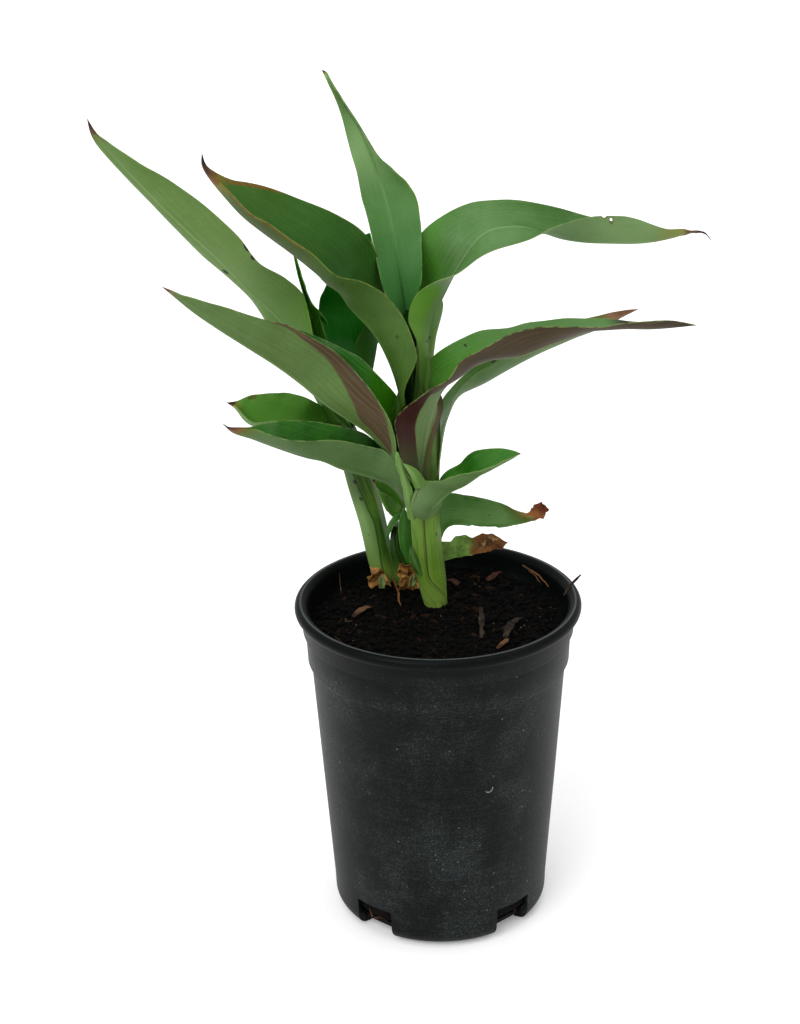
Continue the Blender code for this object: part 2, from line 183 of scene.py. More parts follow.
class NodeKit:
    """Builds one material's nodes."""

    def __init__(self, name: str) -> None:
        """Makes an empty Principled material.

        Args:
            name: The material's name.
        """
        self.material = bpy.data.materials.new(name)
        self.material.use_nodes = True
        self.tree = self.material.node_tree
        self.shader = self.tree.nodes["Principled BSDF"]

    def node(
        self,
        kind: str,
        settings: dict | None = None,
        inputs: dict | None = None,
        output: int | str = 0,
    ) -> Wire:
        """Adds a node of any kind.

        Args:
            kind: The node's type.
            settings: Its properties, set before its sockets.
            inputs: Socket name or number to a value, or to a wire that is linked.
            output: Which of its outputs is wanted.

        Returns:
            The wanted output.
        """
        made = self.tree.nodes.new(kind)
        for key, value in (settings or {}).items():
            setattr(made, key, value)
        for key, value in (inputs or {}).items():
            if isinstance(value, Wire):
                self.tree.links.new(value.socket, made.inputs[key])
            else:
                made.inputs[key].default_value = value
        return Wire(self, made.outputs[output])

    def colour(self, value: "Wire | Colour") -> "Wire | tuple[float, float, float, float]":
        """A wire as it is, or a shown colour turned into a surface's own."""
        return value if isinstance(value, Wire) else own_colour(value)

    def mix(self, share: "Wire | float", low: "Wire | Colour", high: "Wire | Colour") -> Wire:
        """Mixes two colours.

        Args:
            share: 0 gives low and 1 gives high.
            low: The first colour.
            high: The second colour.

        Returns:
            The mixed colour.
        """
        inputs = {0: share, 6: self.colour(low), 7: self.colour(high)}
        return self.node("ShaderNodeMix", {"data_type": "RGBA"}, inputs, 2)

    def place(self) -> Wire:
        """The point's place on the object, in metres."""
        return self.node("ShaderNodeTexCoord", output="Object")

    def layer(self, name: str) -> tuple[Wire, Wire]:
        """The two coordinates of a UV layer, by name."""
        flat = self.node("ShaderNodeUVMap", {"uv_map": name})
        return self.split(flat)[:2]

    def split(self, vector: Wire) -> tuple[Wire, Wire, Wire]:
        """The three coordinates of a vector."""
        made = self.node("ShaderNodeSeparateXYZ", None, {0: vector})
        outputs = made.socket.node.outputs
        return (made, Wire(self, outputs[1]), Wire(self, outputs[2]))

    def join(self, x: "Wire | float", y: "Wire | float", z: "Wire | float") -> Wire:
        """A vector from three coordinates."""
        return self.node("ShaderNodeCombineXYZ", None, {0: x, 1: y, 2: z})

    def paint(self, tone: "Wire | Colour", *layers: tuple) -> Wire:
        """Lays colours over one another.

        Args:
            tone: The first colour.
            *layers: Each how much of it shows, 0 to 1, and its colour.

        Returns:
            The painted colour.
        """
        for share, colour in layers:
            tone = self.mix(share, tone, colour)
        return tone

    def noise(self, vector: Wire, grain: Grain) -> Wire:
        """Smooth noise of one kind, about 0 to 1, read at a vector."""
        inputs = {"Vector": vector, "Scale": grain.scale, "Detail": grain.detail, "Roughness": grain.rough}
        return self.node("ShaderNodeTexNoise", None, inputs)

    def streaks(self, across: Wire, along: Wire, kind: Streaks) -> Wire:
        """Drawn-out noise of one kind, read at two places in millimetres."""
        flat = self.join(across * kind.across, along * kind.along, kind.layer)
        return self.noise(flat, Grain(1.0, kind.detail, kind.rough))

    def specks(self, vector: Wire, kind: Specks) -> Wire:
        """Scattered dots of one kind: 1 on a dot and 0 elsewhere."""
        inputs = {"Vector": vector, "Scale": kind.scale, "Randomness": 1.0}
        near = self.node("ShaderNodeTexVoronoi", None, inputs, "Distance")
        pick = Wire(self, near.socket.node.outputs["Color"])
        chosen = self.split(pick)[0].step(kind.share, kind.share * 0.7)
        return near.step(kind.size, kind.size * 0.5) * chosen

    def curve(self, value: Wire, points: tuple[tuple[float, float], ...]) -> Wire:
        """Reads a curve through points.

        Args:
            value: Where it is read, 0 to 1.
            points: Its points, first to last, each with both numbers 0 to 1.

        Returns:
            The curve's height.
        """
        made = self.node("ShaderNodeFloatCurve", None, {"Value": value})
        mapping = made.socket.node.mapping
        line = mapping.curves[0]
        line.points[0].location = points[0]
        line.points[1].location = points[-1]
        for x, y in points[1:-1]:
            line.points.new(x, y)
        mapping.update()
        return made

    def bump(self, height: Wire, strength: float, depth: float) -> Wire:
        """A bumped normal.

        Args:
            height: The relief, 0 to 1.
            strength: How much of it shows.
            depth: Its depth in millimetres.

        Returns:
            The normal.
        """
        return self.node("ShaderNodeBump", None, {"Strength": strength, "Distance": depth * MM, "Height": height})

    def finish(
        self, colour: "Wire | Colour", rough: "Wire | float", normal: Wire | None = None, **more: object
    ) -> bpy.types.Material:
        """Feeds the Principled shader.

        Args:
            colour: Its base colour.
            rough: Its roughness.
            normal: Its normal, if it has relief.
            **more: Values or links of further sockets, with _ for a space in a name.

        Returns:
            The finished material.
        """
        links = {"Base Color": self.colour(colour), "Roughness": rough}
        if normal is not None:
            links["Normal"] = normal
        links.update({key.replace("_", " "): value for key, value in more.items()})
        for key, value in links.items():
            if isinstance(value, Wire):
                self.tree.links.new(value.socket, self.shader.inputs[key])
            else:
                self.shader.inputs[key].default_value = value
        return self.material


# ---------------------------------------------------------------- modelling by operators


class Bench:
    """Adds primitives and shapes them with Blender's own operators."""

    ALL = (bpy.ops.mesh.select_all, {"action": "SELECT"})
    NONE = (bpy.ops.mesh.select_all, {"action": "DESELECT"})
    MERGE = (bpy.ops.mesh.remove_doubles, {"threshold": WELD})
    OUTWARD = (bpy.ops.mesh.normals_make_consistent, {"inside": False})

    @staticmethod
    def deselect() -> None:
        """Leaves nothing selected."""
        bpy.ops.object.select_all(action="DESELECT")

    @staticmethod
    def only(piece: bpy.types.Object) -> None:
        """Selects one piece and makes it active."""
        Bench.deselect()
        piece.select_set(True)
        bpy.context.view_layer.objects.active = piece

    @staticmethod
    def edit(piece: bpy.types.Object, *steps: tuple) -> None:
        """Runs operators in edit mode on a piece that starts all selected.

        Args:
            piece: The piece to work on.
            *steps: Each an operator and its settings.
        """
        Bench.only(piece)
        bpy.ops.object.mode_set(mode="EDIT")
        bpy.ops.mesh.select_mode(type="VERT")
        bpy.ops.mesh.select_all(action="SELECT")
        for operator, settings in steps:
            operator(**settings)
        bpy.ops.object.mode_set(mode="OBJECT")

    @staticmethod
    def modify(piece: bpy.types.Object, kind: str, **settings: object) -> None:
        """Adds a modifier and applies it.

        Args:
            piece: The piece to work on.
            kind: The modifier's type.
            **settings: Its properties.
        """
        Bench.only(piece)
        made = piece.modifiers.new(kind.lower(), kind)
        for key, value in settings.items():
            setattr(made, key, value)
        bpy.ops.object.modifier_apply(modifier=made.name)

    @staticmethod
    def smooth(piece: bpy.types.Object, angle: float) -> None:
        """Shades a piece smooth, with edges sharper than the angle kept."""
        Bench.only(piece)
        bpy.ops.object.shade_smooth_by_angle(angle=math.radians(angle))

    @staticmethod
    def named(name: str) -> bpy.types.Object:
        """Names the piece that was just added, and its mesh."""
        piece = bpy.context.active_object
        piece.name = name
        piece.data.name = name
        return piece

    @staticmethod
    def sheet(name: str, surface: np.ndarray) -> tuple[bpy.types.Object, np.ndarray, np.ndarray]:
        """Adds a grid primitive and moves its points onto a surface.

        Args:
            name: The piece's name.
            surface: Rows by columns by three, in millimetres.

        Returns:
            The sheet, with each point's row and column.
        """
        rows, columns = surface.shape[:2]
        Bench.deselect()
        bpy.ops.mesh.primitive_grid_add(x_subdivisions=columns - 1, y_subdivisions=rows - 1, size=2.0)
        piece = Bench.named(name)
        mesh = piece.data
        flat = np.empty(len(mesh.vertices) * 3)
        mesh.vertices.foreach_get("co", flat)
        flat = (flat.reshape(-1, 3) + 1.0) / 2.0
        column = np.rint(flat[:, 0] * (columns - 1)).astype(int)
        row = np.rint(flat[:, 1] * (rows - 1)).astype(int)
        mesh.vertices.foreach_set("co", (surface[row, column] * MM).ravel())
        mesh.update()
        return piece, row, column

    @staticmethod
    def map_layer(piece: bpy.types.Object, name: str, across: np.ndarray, along: np.ndarray) -> None:
        """Writes a UV layer from one value pair for each point.

        Args:
            piece: The piece to map.
            name: The layer's name, made if it isn't there.
            across: Each point's first coordinate.
            along: Each point's second coordinate.
        """
        mesh = piece.data
        layer = mesh.uv_layers.get(name) or mesh.uv_layers.new(name=name)
        corner = np.empty(len(mesh.loops), dtype=np.int32)
        mesh.loops.foreach_get("vertex_index", corner)
        layer.data.foreach_set("uv", np.stack([across[corner], along[corner]], axis=1).ravel())

    @staticmethod
    def spin(name: str, profile: list[tuple[float, float]], steps: int) -> bpy.types.Object:
        """Turns a profile about the Z axis: a point is extruded along it, then spun.

        Args:
            name: The piece's name.
            profile: Radius and height of each point, in millimetres, from axis to axis.
            steps: Sides of the turned piece.

        Returns:
            The closed piece.
        """
        Bench.deselect()
        bpy.ops.mesh.primitive_plane_add(size=0.01)
        piece = Bench.named(name)
        start = Vector((profile[0][0], 0.0, profile[0][1])) * MM
        steps_made = [
            (bpy.ops.mesh.merge, {"type": "CENTER"}),
            (bpy.ops.transform.translate, {"value": start}),
        ]
        for low, high in zip(profile, profile[1:]):
            move = Vector((high[0] - low[0], 0.0, high[1] - low[1])) * MM
            steps_made.append((bpy.ops.mesh.extrude_region_move, {"TRANSFORM_OT_translate": {"value": move}}))
        turn = {"steps": steps, "angle": math.tau, "center": (0, 0, 0), "axis": (0, 0, 1)}
        steps_made += [Bench.ALL, (bpy.ops.mesh.spin, turn), Bench.ALL, Bench.MERGE, Bench.OUTWARD]
        Bench.edit(piece, *steps_made)
        return piece

    @staticmethod
    def joined(name: str, points: np.ndarray, faces: np.ndarray) -> bpy.types.Object:
        """Makes one mesh of many small things from arrays.

        Args:
            name: The piece's name.
            points: Every point, in millimetres.
            faces: Every face's points.

        Returns:
            The piece.
        """
        mesh = bpy.data.meshes.new(name)
        mesh.from_pydata((points * MM).tolist(), [], faces.tolist())
        mesh.update()
        piece = bpy.data.objects.new(name, mesh)
        bpy.context.collection.objects.link(piece)
        return piece


def settle(piece: bpy.types.Object, slot: str, *nodes: str) -> bpy.types.Object:
    """Hands a finished piece to the frame.

    Args:
        piece: The finished piece.
        slot: The name of a material slot; not used.
        *nodes: The plain solids that it stands for.

    Returns:
        The piece.
    """
    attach(piece, BODY)
    if nodes:
        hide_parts(*nodes)
    log.info("%s: %d faces", piece.name, len(piece.data.polygons))
    return piece


# ---------------------------------------------------------------- curves and surfaces


FINE_STEPS = 40  # samples between two given points of a curve, before they are spaced evenly
PUSHES = (37.3, 74.9, 112.7)  # how far apart the three parts of a push are read in the noise


def length_along(points: np.ndarray) -> np.ndarray:
    """How far along a line each of its points is, from its first."""
    return np.concatenate([[0.0], np.cumsum(np.linalg.norm(np.diff(points[:, :3], axis=0), axis=1))])


def smooth_curve(points: tuple, count: int) -> np.ndarray:
    """Samples a centripetal Catmull-Rom curve evenly by length.

    Args:
        points: What it runs through; any number of coordinates each, the first three of them a place.
        count: How many samples are wanted.

    Returns:
        The samples, one a row.
    """
    given = np.array(points, float)
    ends = np.vstack([2 * given[0] - given[1], given, 2 * given[-1] - given[-2]])
    fine = []
    for a, b, c, d in zip(ends, ends[1:], ends[2:], ends[3:]):
        knots = [0.0]
        for low, high in ((a, b), (b, c), (c, d)):
            knots.append(knots[-1] + math.sqrt(np.linalg.norm((high - low)[:3])))
        k0, k1, k2, k3 = knots
        for u in np.linspace(k1, k2, FINE_STEPS, endpoint=False):
            ab = ((k1 - u) * a + (u - k0) * b) / (k1 - k0)
            bc = ((k2 - u) * b + (u - k1) * c) / (k2 - k1)
            cd = ((k3 - u) * c + (u - k2) * d) / (k3 - k2)
            abc = ((k2 - u) * ab + (u - k0) * bc) / (k2 - k0)
            bcd = ((k3 - u) * bc + (u - k1) * cd) / (k3 - k1)
            fine.append(((k2 - u) * abc + (u - k1) * bcd) / (k2 - k1))
    fine.append(given[-1])
    fine = np.array(fine)
    run = length_along(fine)
    even = np.linspace(0.0, run[-1], count)
    return np.stack([np.interp(even, run, fine[:, k]) for k in range(fine.shape[1])], axis=1)


def unit(vectors: np.ndarray) -> np.ndarray:
    """Vectors scaled to length one."""
    return vectors / np.linalg.norm(vectors, axis=-1, keepdims=True)


def ease(values: np.ndarray, low: float, high: float) -> np.ndarray:
    """Rises smoothly from 0 at low to 1 at high."""
    share = np.clip((values - low) / (high - low), 0.0, 1.0)
    return share * share * (3.0 - 2.0 * share)


def shaken(spot: Vector) -> np.ndarray:
    """A smooth push that depends on the place alone, so that it's the same each run."""
    return np.array([noise.noise(spot + Vector((0.0, 0.0, shift))) for shift in PUSHES])


def at_stations(values: tuple, along: np.ndarray) -> np.ndarray:
    """Reads values that are given at even steps from 0 to 1, eased between them.

    Args:
        values: The values, first to last.
        along: Where they are read, 0 to 1.

    Returns:
        One value for each place.
    """
    given = np.array(values, float)
    if len(given) == 1:
        return np.full_like(along, given[0])
    place = np.clip(along, 0.0, 1.0) * (len(given) - 1)
    index = np.minimum(place.astype(int), len(given) - 2)
    share = ease(place - index, 0.0, 1.0)
    return given[index] * (1.0 - share) + given[index + 1] * share


# ---------------------------------------------------------------- finishes


class Half(Enum):
    """A side of a leaf, seen from foot to tip with the upper face up."""

    LEFT = -1
    RIGHT = 1
    BOTH = 0


class Face(Enum):
    """A face of a leaf."""

    UPPER = "upper"
    UNDER = "under"


TOP_ONLY = (Face.UPPER,)
BOTH_FACES = (Face.UPPER, Face.UNDER)


@dataclass(frozen=True)
class Band:
    """A strip of colour along one half of a leaf.

    inner holds points of the strip's edge next to the midrib, each a share of the leaf's length and a
    share of the half-width; outer, where it is given, is its edge towards the margin.
    """

    colour: Colour
    half: Half
    inner: tuple[tuple[float, float], ...]
    outer: tuple[tuple[float, float], ...] | None = None
    soft: float = 0.04
    fade: float = 0.02
    amount: float = 1.0
    streaky: bool = True
    faces: tuple[Face, ...] = (Face.UNDER,)

    WANDER = Grain(170.0)

    def mask(self, kit: NodeKit, across: Wire, along: Wire) -> Wire:
        """Where the strip lies.

        Args:
            kit: The material's nodes.
            across: Signed share of the half-width, -1 to 1.
            along: Share of the length.

        Returns:
            1 in the strip and 0 outside it.
        """
        sided = abs(across) if self.half is Half.BOTH else across * float(self.half.value)
        reach = sided + (kit.noise(kit.place(), self.WANDER) - 0.5) * (self.soft * 2.5)
        inside = (reach - kit.curve(along, self.inner)).step(-self.soft, self.soft)
        if self.half is not Half.BOTH:
            inside = inside * sided.step(-0.01, 0.01)
        if self.outer is not None:
            inside = inside * (kit.curve(along, self.outer) - reach).step(-self.soft, self.soft)
        start, end = self.inner[0][0], self.inner[-1][0]
        if start > 0.0:
            inside = inside * along.step(start - self.fade, start + self.fade)
        if end < 1.0:
            inside = inside * along.step(end + self.fade, end - self.fade)
        return inside * self.amount


@dataclass(frozen=True)
class Mark:
    """A small blemish: an ellipse with a ragged edge.

    across and along are its middle, wide and tall its half-axes, all as shares.
    """

    across: float
    along: float
    wide: float
    tall: float
    colour: Colour = (30, 26, 18)
    amount: float = 0.85

    RAGGED = Grain(520.0, 2.0)

    def spread(self, kit: NodeKit, across: Wire, along: Wire) -> Wire:
        """How far from the blemish's middle a place is, with 1 at its edge."""
        x, y = (across - self.across) / self.wide, (along - self.along) / self.tall
        return x * x + y * y + (kit.noise(kit.place(), self.RAGGED) - 0.5) * 1.2

    def paint(self, kit: NodeKit, across: Wire, along: Wire, tone: Wire) -> Wire:
        """Paints the blemish over a colour."""
        return kit.mix(self.spread(kit, across, along).step(1.15, 0.75) * self.amount, tone, self.colour)


@dataclass(frozen=True)
class LeafFinish:
    """The colours of one leaf: each face, its veins, margin, foot and withered tip."""

    upper: Colour = (82, 126, 60)
    upper_deep: Colour = (40, 88, 22)
    under: Colour = (98, 126, 80)
    under_deep: Colour = (76, 104, 56)
    vein: Colour = (128, 156, 92)
    margin: Colour = (128, 152, 84)
    foot: Colour = (104, 138, 58)
    foot_end: float = 0.12
    foot_soft: float = 0.12
    tip_start: float = 0.95
    withered: Colour = (104, 68, 38)
    scorched: Colour = (48, 28, 24)
    yellowed: Colour = (132, 132, 60)
    bands: tuple[Band, ...] = ()
    marks: tuple[Mark, ...] = ()
    holes: tuple[Mark, ...] = ()

    CLOUDS = Grain(22.0, 3.0, 0.55)
    MOTTLE = Grain(320.0, 4.0, 0.7)
    RAGGED = Grain(260.0, 2.0)
    WANDER = Grain(70.0)
    LINES = Streaks(0.9, 0.018, 3.0, rough=0.5)
    FINE = Streaks(3.2, 0.03, 7.0)
    DOTS = Specks(120.0, 0.11, 0.05)
    GRIME = Specks(260.0, 0.10, 0.10)
    ROUGH = {Face.UPPER: 0.42, Face.UNDER: 0.52}
    GLOSS = 0.22

    def material(self, name: str, face: Face) -> bpy.types.Material:
        """Makes the material of one face.

        Args:
            name: The leaf's name.
            face: The face it is for.

        Returns:
            The material.
        """
        kit = NodeKit(f"{name}_{face.value}")
        where = kit.place()
        share, along = kit.layer("share")
        across = share * 2.0 - 1.0
        wide, far = kit.layer("size")
        wide, far = (wide - 0.5) * WIDE_SPAN, far * LONG_SPAN
        beside = abs(wide)
        base, deep = (self.upper, self.upper_deep) if face is Face.UPPER else (self.under, self.under_deep)
        lines, fine = kit.streaks(wide, far, self.LINES), kit.streaks(wide, far, self.FINE)
        ribs = ((far * 0.30 - beside * 0.95) * 3.6).sine()
        mottle = kit.noise(where, self.MOTTLE)
        tone = kit.paint(
            kit.mix(kit.noise(where, self.CLOUDS).step(0.36, 0.66), deep, base),
            (lines.step(0.40, 0.75) * 0.21, self.vein),
            (fine.step(0.52, 0.80) * 0.11, self.vein),
            (ribs.step(0.0, 1.0) * 0.04, self.vein),
            (mottle.step(0.48, 0.74) * 0.36, deep),
            (mottle.step(0.46, 0.28) * 0.14, self.vein),
        )
        for band in self.bands:
            if face in band.faces:
                shade = self.streaked(kit, band.colour, lines, fine) if band.streaky else band.colour
                tone = kit.mix(band.mask(kit, across, along), tone, shade)
        tone = self.edged(kit, tone, across, along, beside)
        if self.tip_start < 1.0:
            tone = self.dried(kit, tone, across, along)
        tone = kit.mix(kit.specks(where, self.GRIME) * 0.35, tone, self.scorched)
        for mark in self.marks:
            tone = mark.paint(kit, across, along, tone)
        more: dict[str, object] = {}
        for hole in self.holes:
            spread = hole.spread(kit, across, along)
            tone = kit.mix(spread.step(2.6, 1.4) * 0.7, tone, hole.colour)
            more["Alpha"] = more.get("Alpha", 1.0) * spread.step(0.9, 1.1)
        normal = kit.bump(lines * 0.5 + fine * 0.3 + ribs * 0.16, 0.5, 0.22)
        return kit.finish(tone, lines * 0.14 + self.ROUGH[face], normal, Specular_IOR_Level=self.GLOSS, **more)

    def edged(self, kit: NodeKit, tone: Wire, across: Wire, along: Wire, beside: Wire) -> Wire:
        """Paints the midrib, the foot, the pale margin and a few dots.

        Args:
            kit: The material's nodes.
            tone: The colour beneath.
            across: Signed share of the half-width.
            along: Share of the length.
            beside: Distance from the midrib, in millimetres.

        Returns:
            The painted colour.
        """
        where, reach = kit.place(), abs(across)
        to_margin = beside * (1.0 - reach) / (reach + 0.02)
        ragged = kit.noise(where, self.RAGGED).step(0.36, 0.60)
        return kit.paint(
            tone,
            (beside.step(1.3, 0.3) * along.step(0.98, 0.80) * 0.55, self.vein),
            (along.step(self.foot_end + self.foot_soft, self.foot_end - self.foot_soft) * 0.85, self.foot),
            (to_margin.step(0.62, 0.15) * ragged * 0.6, self.margin),
            (kit.specks(where, self.DOTS) * 0.55, self.withered),
        )

    def dried(self, kit: NodeKit, tone: Wire, across: Wire, along: Wire) -> Wire:
        """Paints the withered tip: yellowed first, then brown, then nearly black.

        Args:
            kit: The material's nodes.
            tone: The colour beneath.
            across: Signed share of the half-width.
            along: Share of the length.

        Returns:
            The painted colour.
        """
        start, span = self.tip_start, 1.0 - self.tip_start
        wander = (kit.noise(kit.place(), self.WANDER) - 0.5) * (span * 1.3)
        dry = along + wander + abs(across) * (span * 0.18)
        return kit.paint(
            tone,
            (dry.step(start - span * 0.8, start + span * 0.1), self.yellowed),
            (dry.step(start, start + span * 0.25), self.withered),
            (dry.step(start + span * 0.3, start + span * 0.9), self.scorched),
        )

    @staticmethod
    def streaked(kit: NodeKit, colour: Colour, lines: Wire, fine: Wire) -> Wire:
        """A colour broken by long, darker and lighter streaks."""
        light = tuple(min(c * 1.25 + 8.0, 255.0) for c in colour)
        dark = tuple(c * 0.78 for c in colour)
        return kit.paint(dark, (lines.step(0.35, 0.68), colour), (fine.step(0.5, 0.78) * 0.5, light))


@dataclass(frozen=True)
class StemFinish:
    """Smooth stem of rolled sheaths: yellow-green, bluish or brown in places, with fine long lines.

    wrap is the colour of the outer sheath, which starts at the groove along its free edge. creases
    are further fine dark lines, each through points of height and turn from the groove, as shares.
    """

    base: Colour = (102, 138, 48)
    deep: Colour = (78, 114, 28)
    pale: Colour = (138, 168, 84)
    top: Colour = (104, 134, 78)
    foot: Colour = (134, 164, 76)
    foot_height: float = 192.0
    wrap: Colour | None = None
    # A darker line along the sheath's free edge: on most stems the edge's own brownish line, on stem_back painted
    # shade in the groove.
    groove: Colour = (58, 50, 30)
    groove_width: float = 0.012
    creases: tuple[tuple[tuple[float, float], ...], ...] = ()
    marks: tuple[Mark, ...] = ()

    CLOUDS = Grain(34.0, 3.0, 0.55)
    SOILED = Grain(300.0)
    LINES = Streaks(1.3, 0.02, 2.0, 3.0)
    FINE = Streaks(3.5, 0.04, 5.0)
    DOTS = Specks(150.0, 0.12, 0.06)
    SOIL_TONE = (52, 44, 26)
    DOT_TONE = (44, 40, 20)
    GLOSS = 0.25

    def material(self, name: str) -> bpy.types.Material:
        """Makes the stem's material.

        Args:
            name: The material's name.

        Returns:
            The material.
        """
        kit = NodeKit(name)
        where = kit.place()
        around, up = kit.layer("size")
        around, up = around * WIDE_SPAN, up * LONG_SPAN
        past, share = kit.layer("edge")
        lines, fine = kit.streaks(around, up, self.LINES), kit.streaks(around, up, self.FINE)
        height = kit.split(where)[2] * (1.0 / MM)
        gap = past.math("MINIMUM", 1.0 - past)
        tone = kit.mix(kit.noise(where, self.CLOUDS).step(0.34, 0.66), self.deep, self.base)
        if self.wrap is not None:
            tone = kit.mix(past.step(0.58, 0.54) * 0.92, tone, self.wrap)
        tone = kit.paint(
            tone,
            (share.step(0.42, 0.62) * 0.75, self.top),
            (lines.step(0.38, 0.74) * 0.40, self.pale),
            (fine.step(0.50, 0.80) * 0.28, self.pale),
            (height.step(self.foot_height + 14.0, self.foot_height - 4.0) * 0.7, self.foot),
            # The groove line: partly the edge's own brownish line and partly painted shade in the groove.
            (gap.step(self.groove_width, self.groove_width * 0.3) * 0.7, self.groove),
            *((abs(past - kit.curve(share, line)).step(0.010, 0.002) * 0.4, self.groove) for line in self.creases),
            (height.step(190.0, 184.0) * kit.noise(where, self.SOILED).step(0.42, 0.62) * 0.6, self.SOIL_TONE),
            (kit.specks(where, self.DOTS) * 0.6, self.DOT_TONE),
        )
        for mark in self.marks:
            tone = mark.paint(kit, past, share, tone)
        normal = kit.bump(lines * 0.5 + fine * 0.5 - gap.step(self.groove_width, 0.0) * 1.2, 0.5, 0.3)
        return kit.finish(tone, lines * 0.15 + 0.42, normal, Specular_IOR_Level=self.GLOSS)


@dataclass(frozen=True)
class DryFinish:
    """Withered leaf tissue: papery, brown, crumpled."""

    base: Colour = (182, 134, 76)
    deep: Colour = (108, 70, 34)
    # Lighter tissue on the crumple's ridges, partly a painted highlight there.
    pale: Colour = (226, 192, 132)
    green: Colour | None = None
    green_end: float = 0.5

    CREASES = Grain(240.0, 4.0, 0.65)
    CLOUDS = Grain(90.0)
    ROUGH = 0.75
    GLOSS = 0.2

    def material(self, name: str) -> bpy.types.Material:
        """Makes the material.

        Args:
            name: The material's name.

        Returns:
            The material.
        """
        kit = NodeKit(name)
        along = kit.layer("share")[1]
        creases, clouds = kit.noise(kit.place(), self.CREASES), kit.noise(kit.place(), self.CLOUDS)
        # Pale on the crumple's ridges: partly lighter papery tissue and partly a painted highlight.
        tone = kit.paint(self.deep, (clouds.step(0.36, 0.64), self.base), (creases.step(0.52, 0.74) * 0.6, self.pale))
        if self.green is not None:
            fresh = (along + (clouds - 0.5) * 0.35).step(self.green_end + 0.08, self.green_end - 0.08)
            shaded = tuple(c * 0.7 for c in self.green)
            tone = kit.mix(fresh, tone, kit.mix(creases.step(0.3, 0.7), shaded, self.green))
        return kit.finish(tone, self.ROUGH, kit.bump(creases, 0.8, 0.6), Specular_IOR_Level=self.GLOSS)


@dataclass(frozen=True)
class PlasticFinish:
    """Thin black pot plastic: dull and dusty, long scuffs round it, a few pale scratches, painted shade from the
    collar up and a painted highlight on the rim's crest.
    """

    base: Colour = (25, 29, 30)
    worn: Colour = (49, 53, 52)
    # The dust's colour; it also paints the thin highlight along the rim's crest.
    dust_and_highlight: Colour = (108, 116, 115)
    scratch: Colour = (176, 180, 178)
    curl: tuple[float, float] = (-88.6, 107.6)
    curl_radius: float = 2.5
    # Painted shade: a darker, bluish tone laid over the plastic from the collar up.
    rim: Colour = (10, 15, 18)
    earth: Colour = (20, 15, 12)
    ledge: float = 158.0
    mean_radius: float = 75.0
    collar: tuple[float, float] = (164.0, 172.0)
    skirt: tuple[float, float] = (182.0, 187.0)
    # Heights of the thin painted highlight along the rim's crest.
    highlight_crest: tuple[float, float] = (196.38, 196.48)

    CLOUDS = Grain(24.0, 5.0, 0.65)
    GRAIN = Grain(1100.0, 3.0, 0.7)
    BANDS = Streaks(0.03, 0.9, 1.0, 3.0)
    DRAGS = Streaks(0.10, 2.2, 4.0, rough=0.7)
    SMEAR = Streaks(0.22, 0.9, 8.0, 4.0, 0.75)
    FINE_DUST = Specks(520.0, 0.22, 0.24)
    DUST = Specks(240.0, 0.20, 0.22)
    SPLASHES = Specks(120.0, 0.10, 0.14)
    GLOSS = 0.07

    def material(self, name: str) -> bpy.types.Material:
        """Makes the material.

        Args:
            name: The material's name.

        Returns:
            The material.
        """
        kit = NodeKit(name)
        where = kit.place()
        x, y, z = kit.split(where)
        angle = kit.node("ShaderNodeMath", {"operation": "ARCTAN2"}, {0: y, 1: x})
        around, height = angle * self.mean_radius, z * (1.0 / MM)
        radius = (x * x + y * y) ** 0.5 * (1.0 / MM)
        bands, drags, smear = (kit.streaks(around, height, kind) for kind in (self.BANDS, self.DRAGS, self.SMEAR))
        clouds, grain = kit.noise(where, self.CLOUDS), kit.noise(where, self.GRAIN)
        dusty = clouds.step(0.40, 0.66)
        ledge = height.step(self.ledge - 5.0, self.ledge) * height.step(self.ledge + 12.0, self.ledge + 4.0)
        across, up = around - self.curl[0], height - self.curl[1]
        ring = abs((across * across + up * up) ** 0.5 - self.curl_radius).step(0.45, 0.15)
        tone = kit.paint(
            self.base,
            (clouds.step(0.36, 0.70) * 0.5 + bands.step(0.48, 0.74) * 0.35, self.worn),
            (grain.step(0.48, 0.72) * (dusty * 0.24 + 0.10), self.dust_and_highlight),
            (drags.step(0.62, 0.76) * (dusty * 0.25 + 0.08), self.dust_and_highlight),
            (ledge * smear.step(0.52, 0.70) * 0.22, self.dust_and_highlight),
            (kit.specks(where, self.FINE_DUST) * (dusty * 0.40 + 0.06), self.dust_and_highlight),
            (kit.specks(where, self.DUST) * (dusty * 0.50 + 0.08), self.dust_and_highlight),
            (kit.specks(where, self.SPLASHES) * 0.60, self.dust_and_highlight),
            # Painted shade: darker from the collar up, and darker again from the skirt up.
            (height.step(*self.collar) * 0.45 + height.step(*self.skirt) * 0.45, self.rim),
            # Painted highlight: a thin pale line along the rim's crest, in the dust's colour.
            (height.step(*self.highlight_crest) * 0.45, self.dust_and_highlight),
            (ring * up.step(0.8, 0.0) * across.step(-2.2, -1.5) * 0.55, self.scratch),
            (radius.step(58.4, 57.4) * height.step(10.5, 9.5), self.earth),
        )
        normal = kit.bump(bands * 0.4 + grain * 0.35 + drags * 0.3, 0.4, 0.22)
        return kit.finish(tone, clouds * 0.22 + bands * 0.12 + 0.27, normal, Specular_IOR_Level=self.GLOSS)


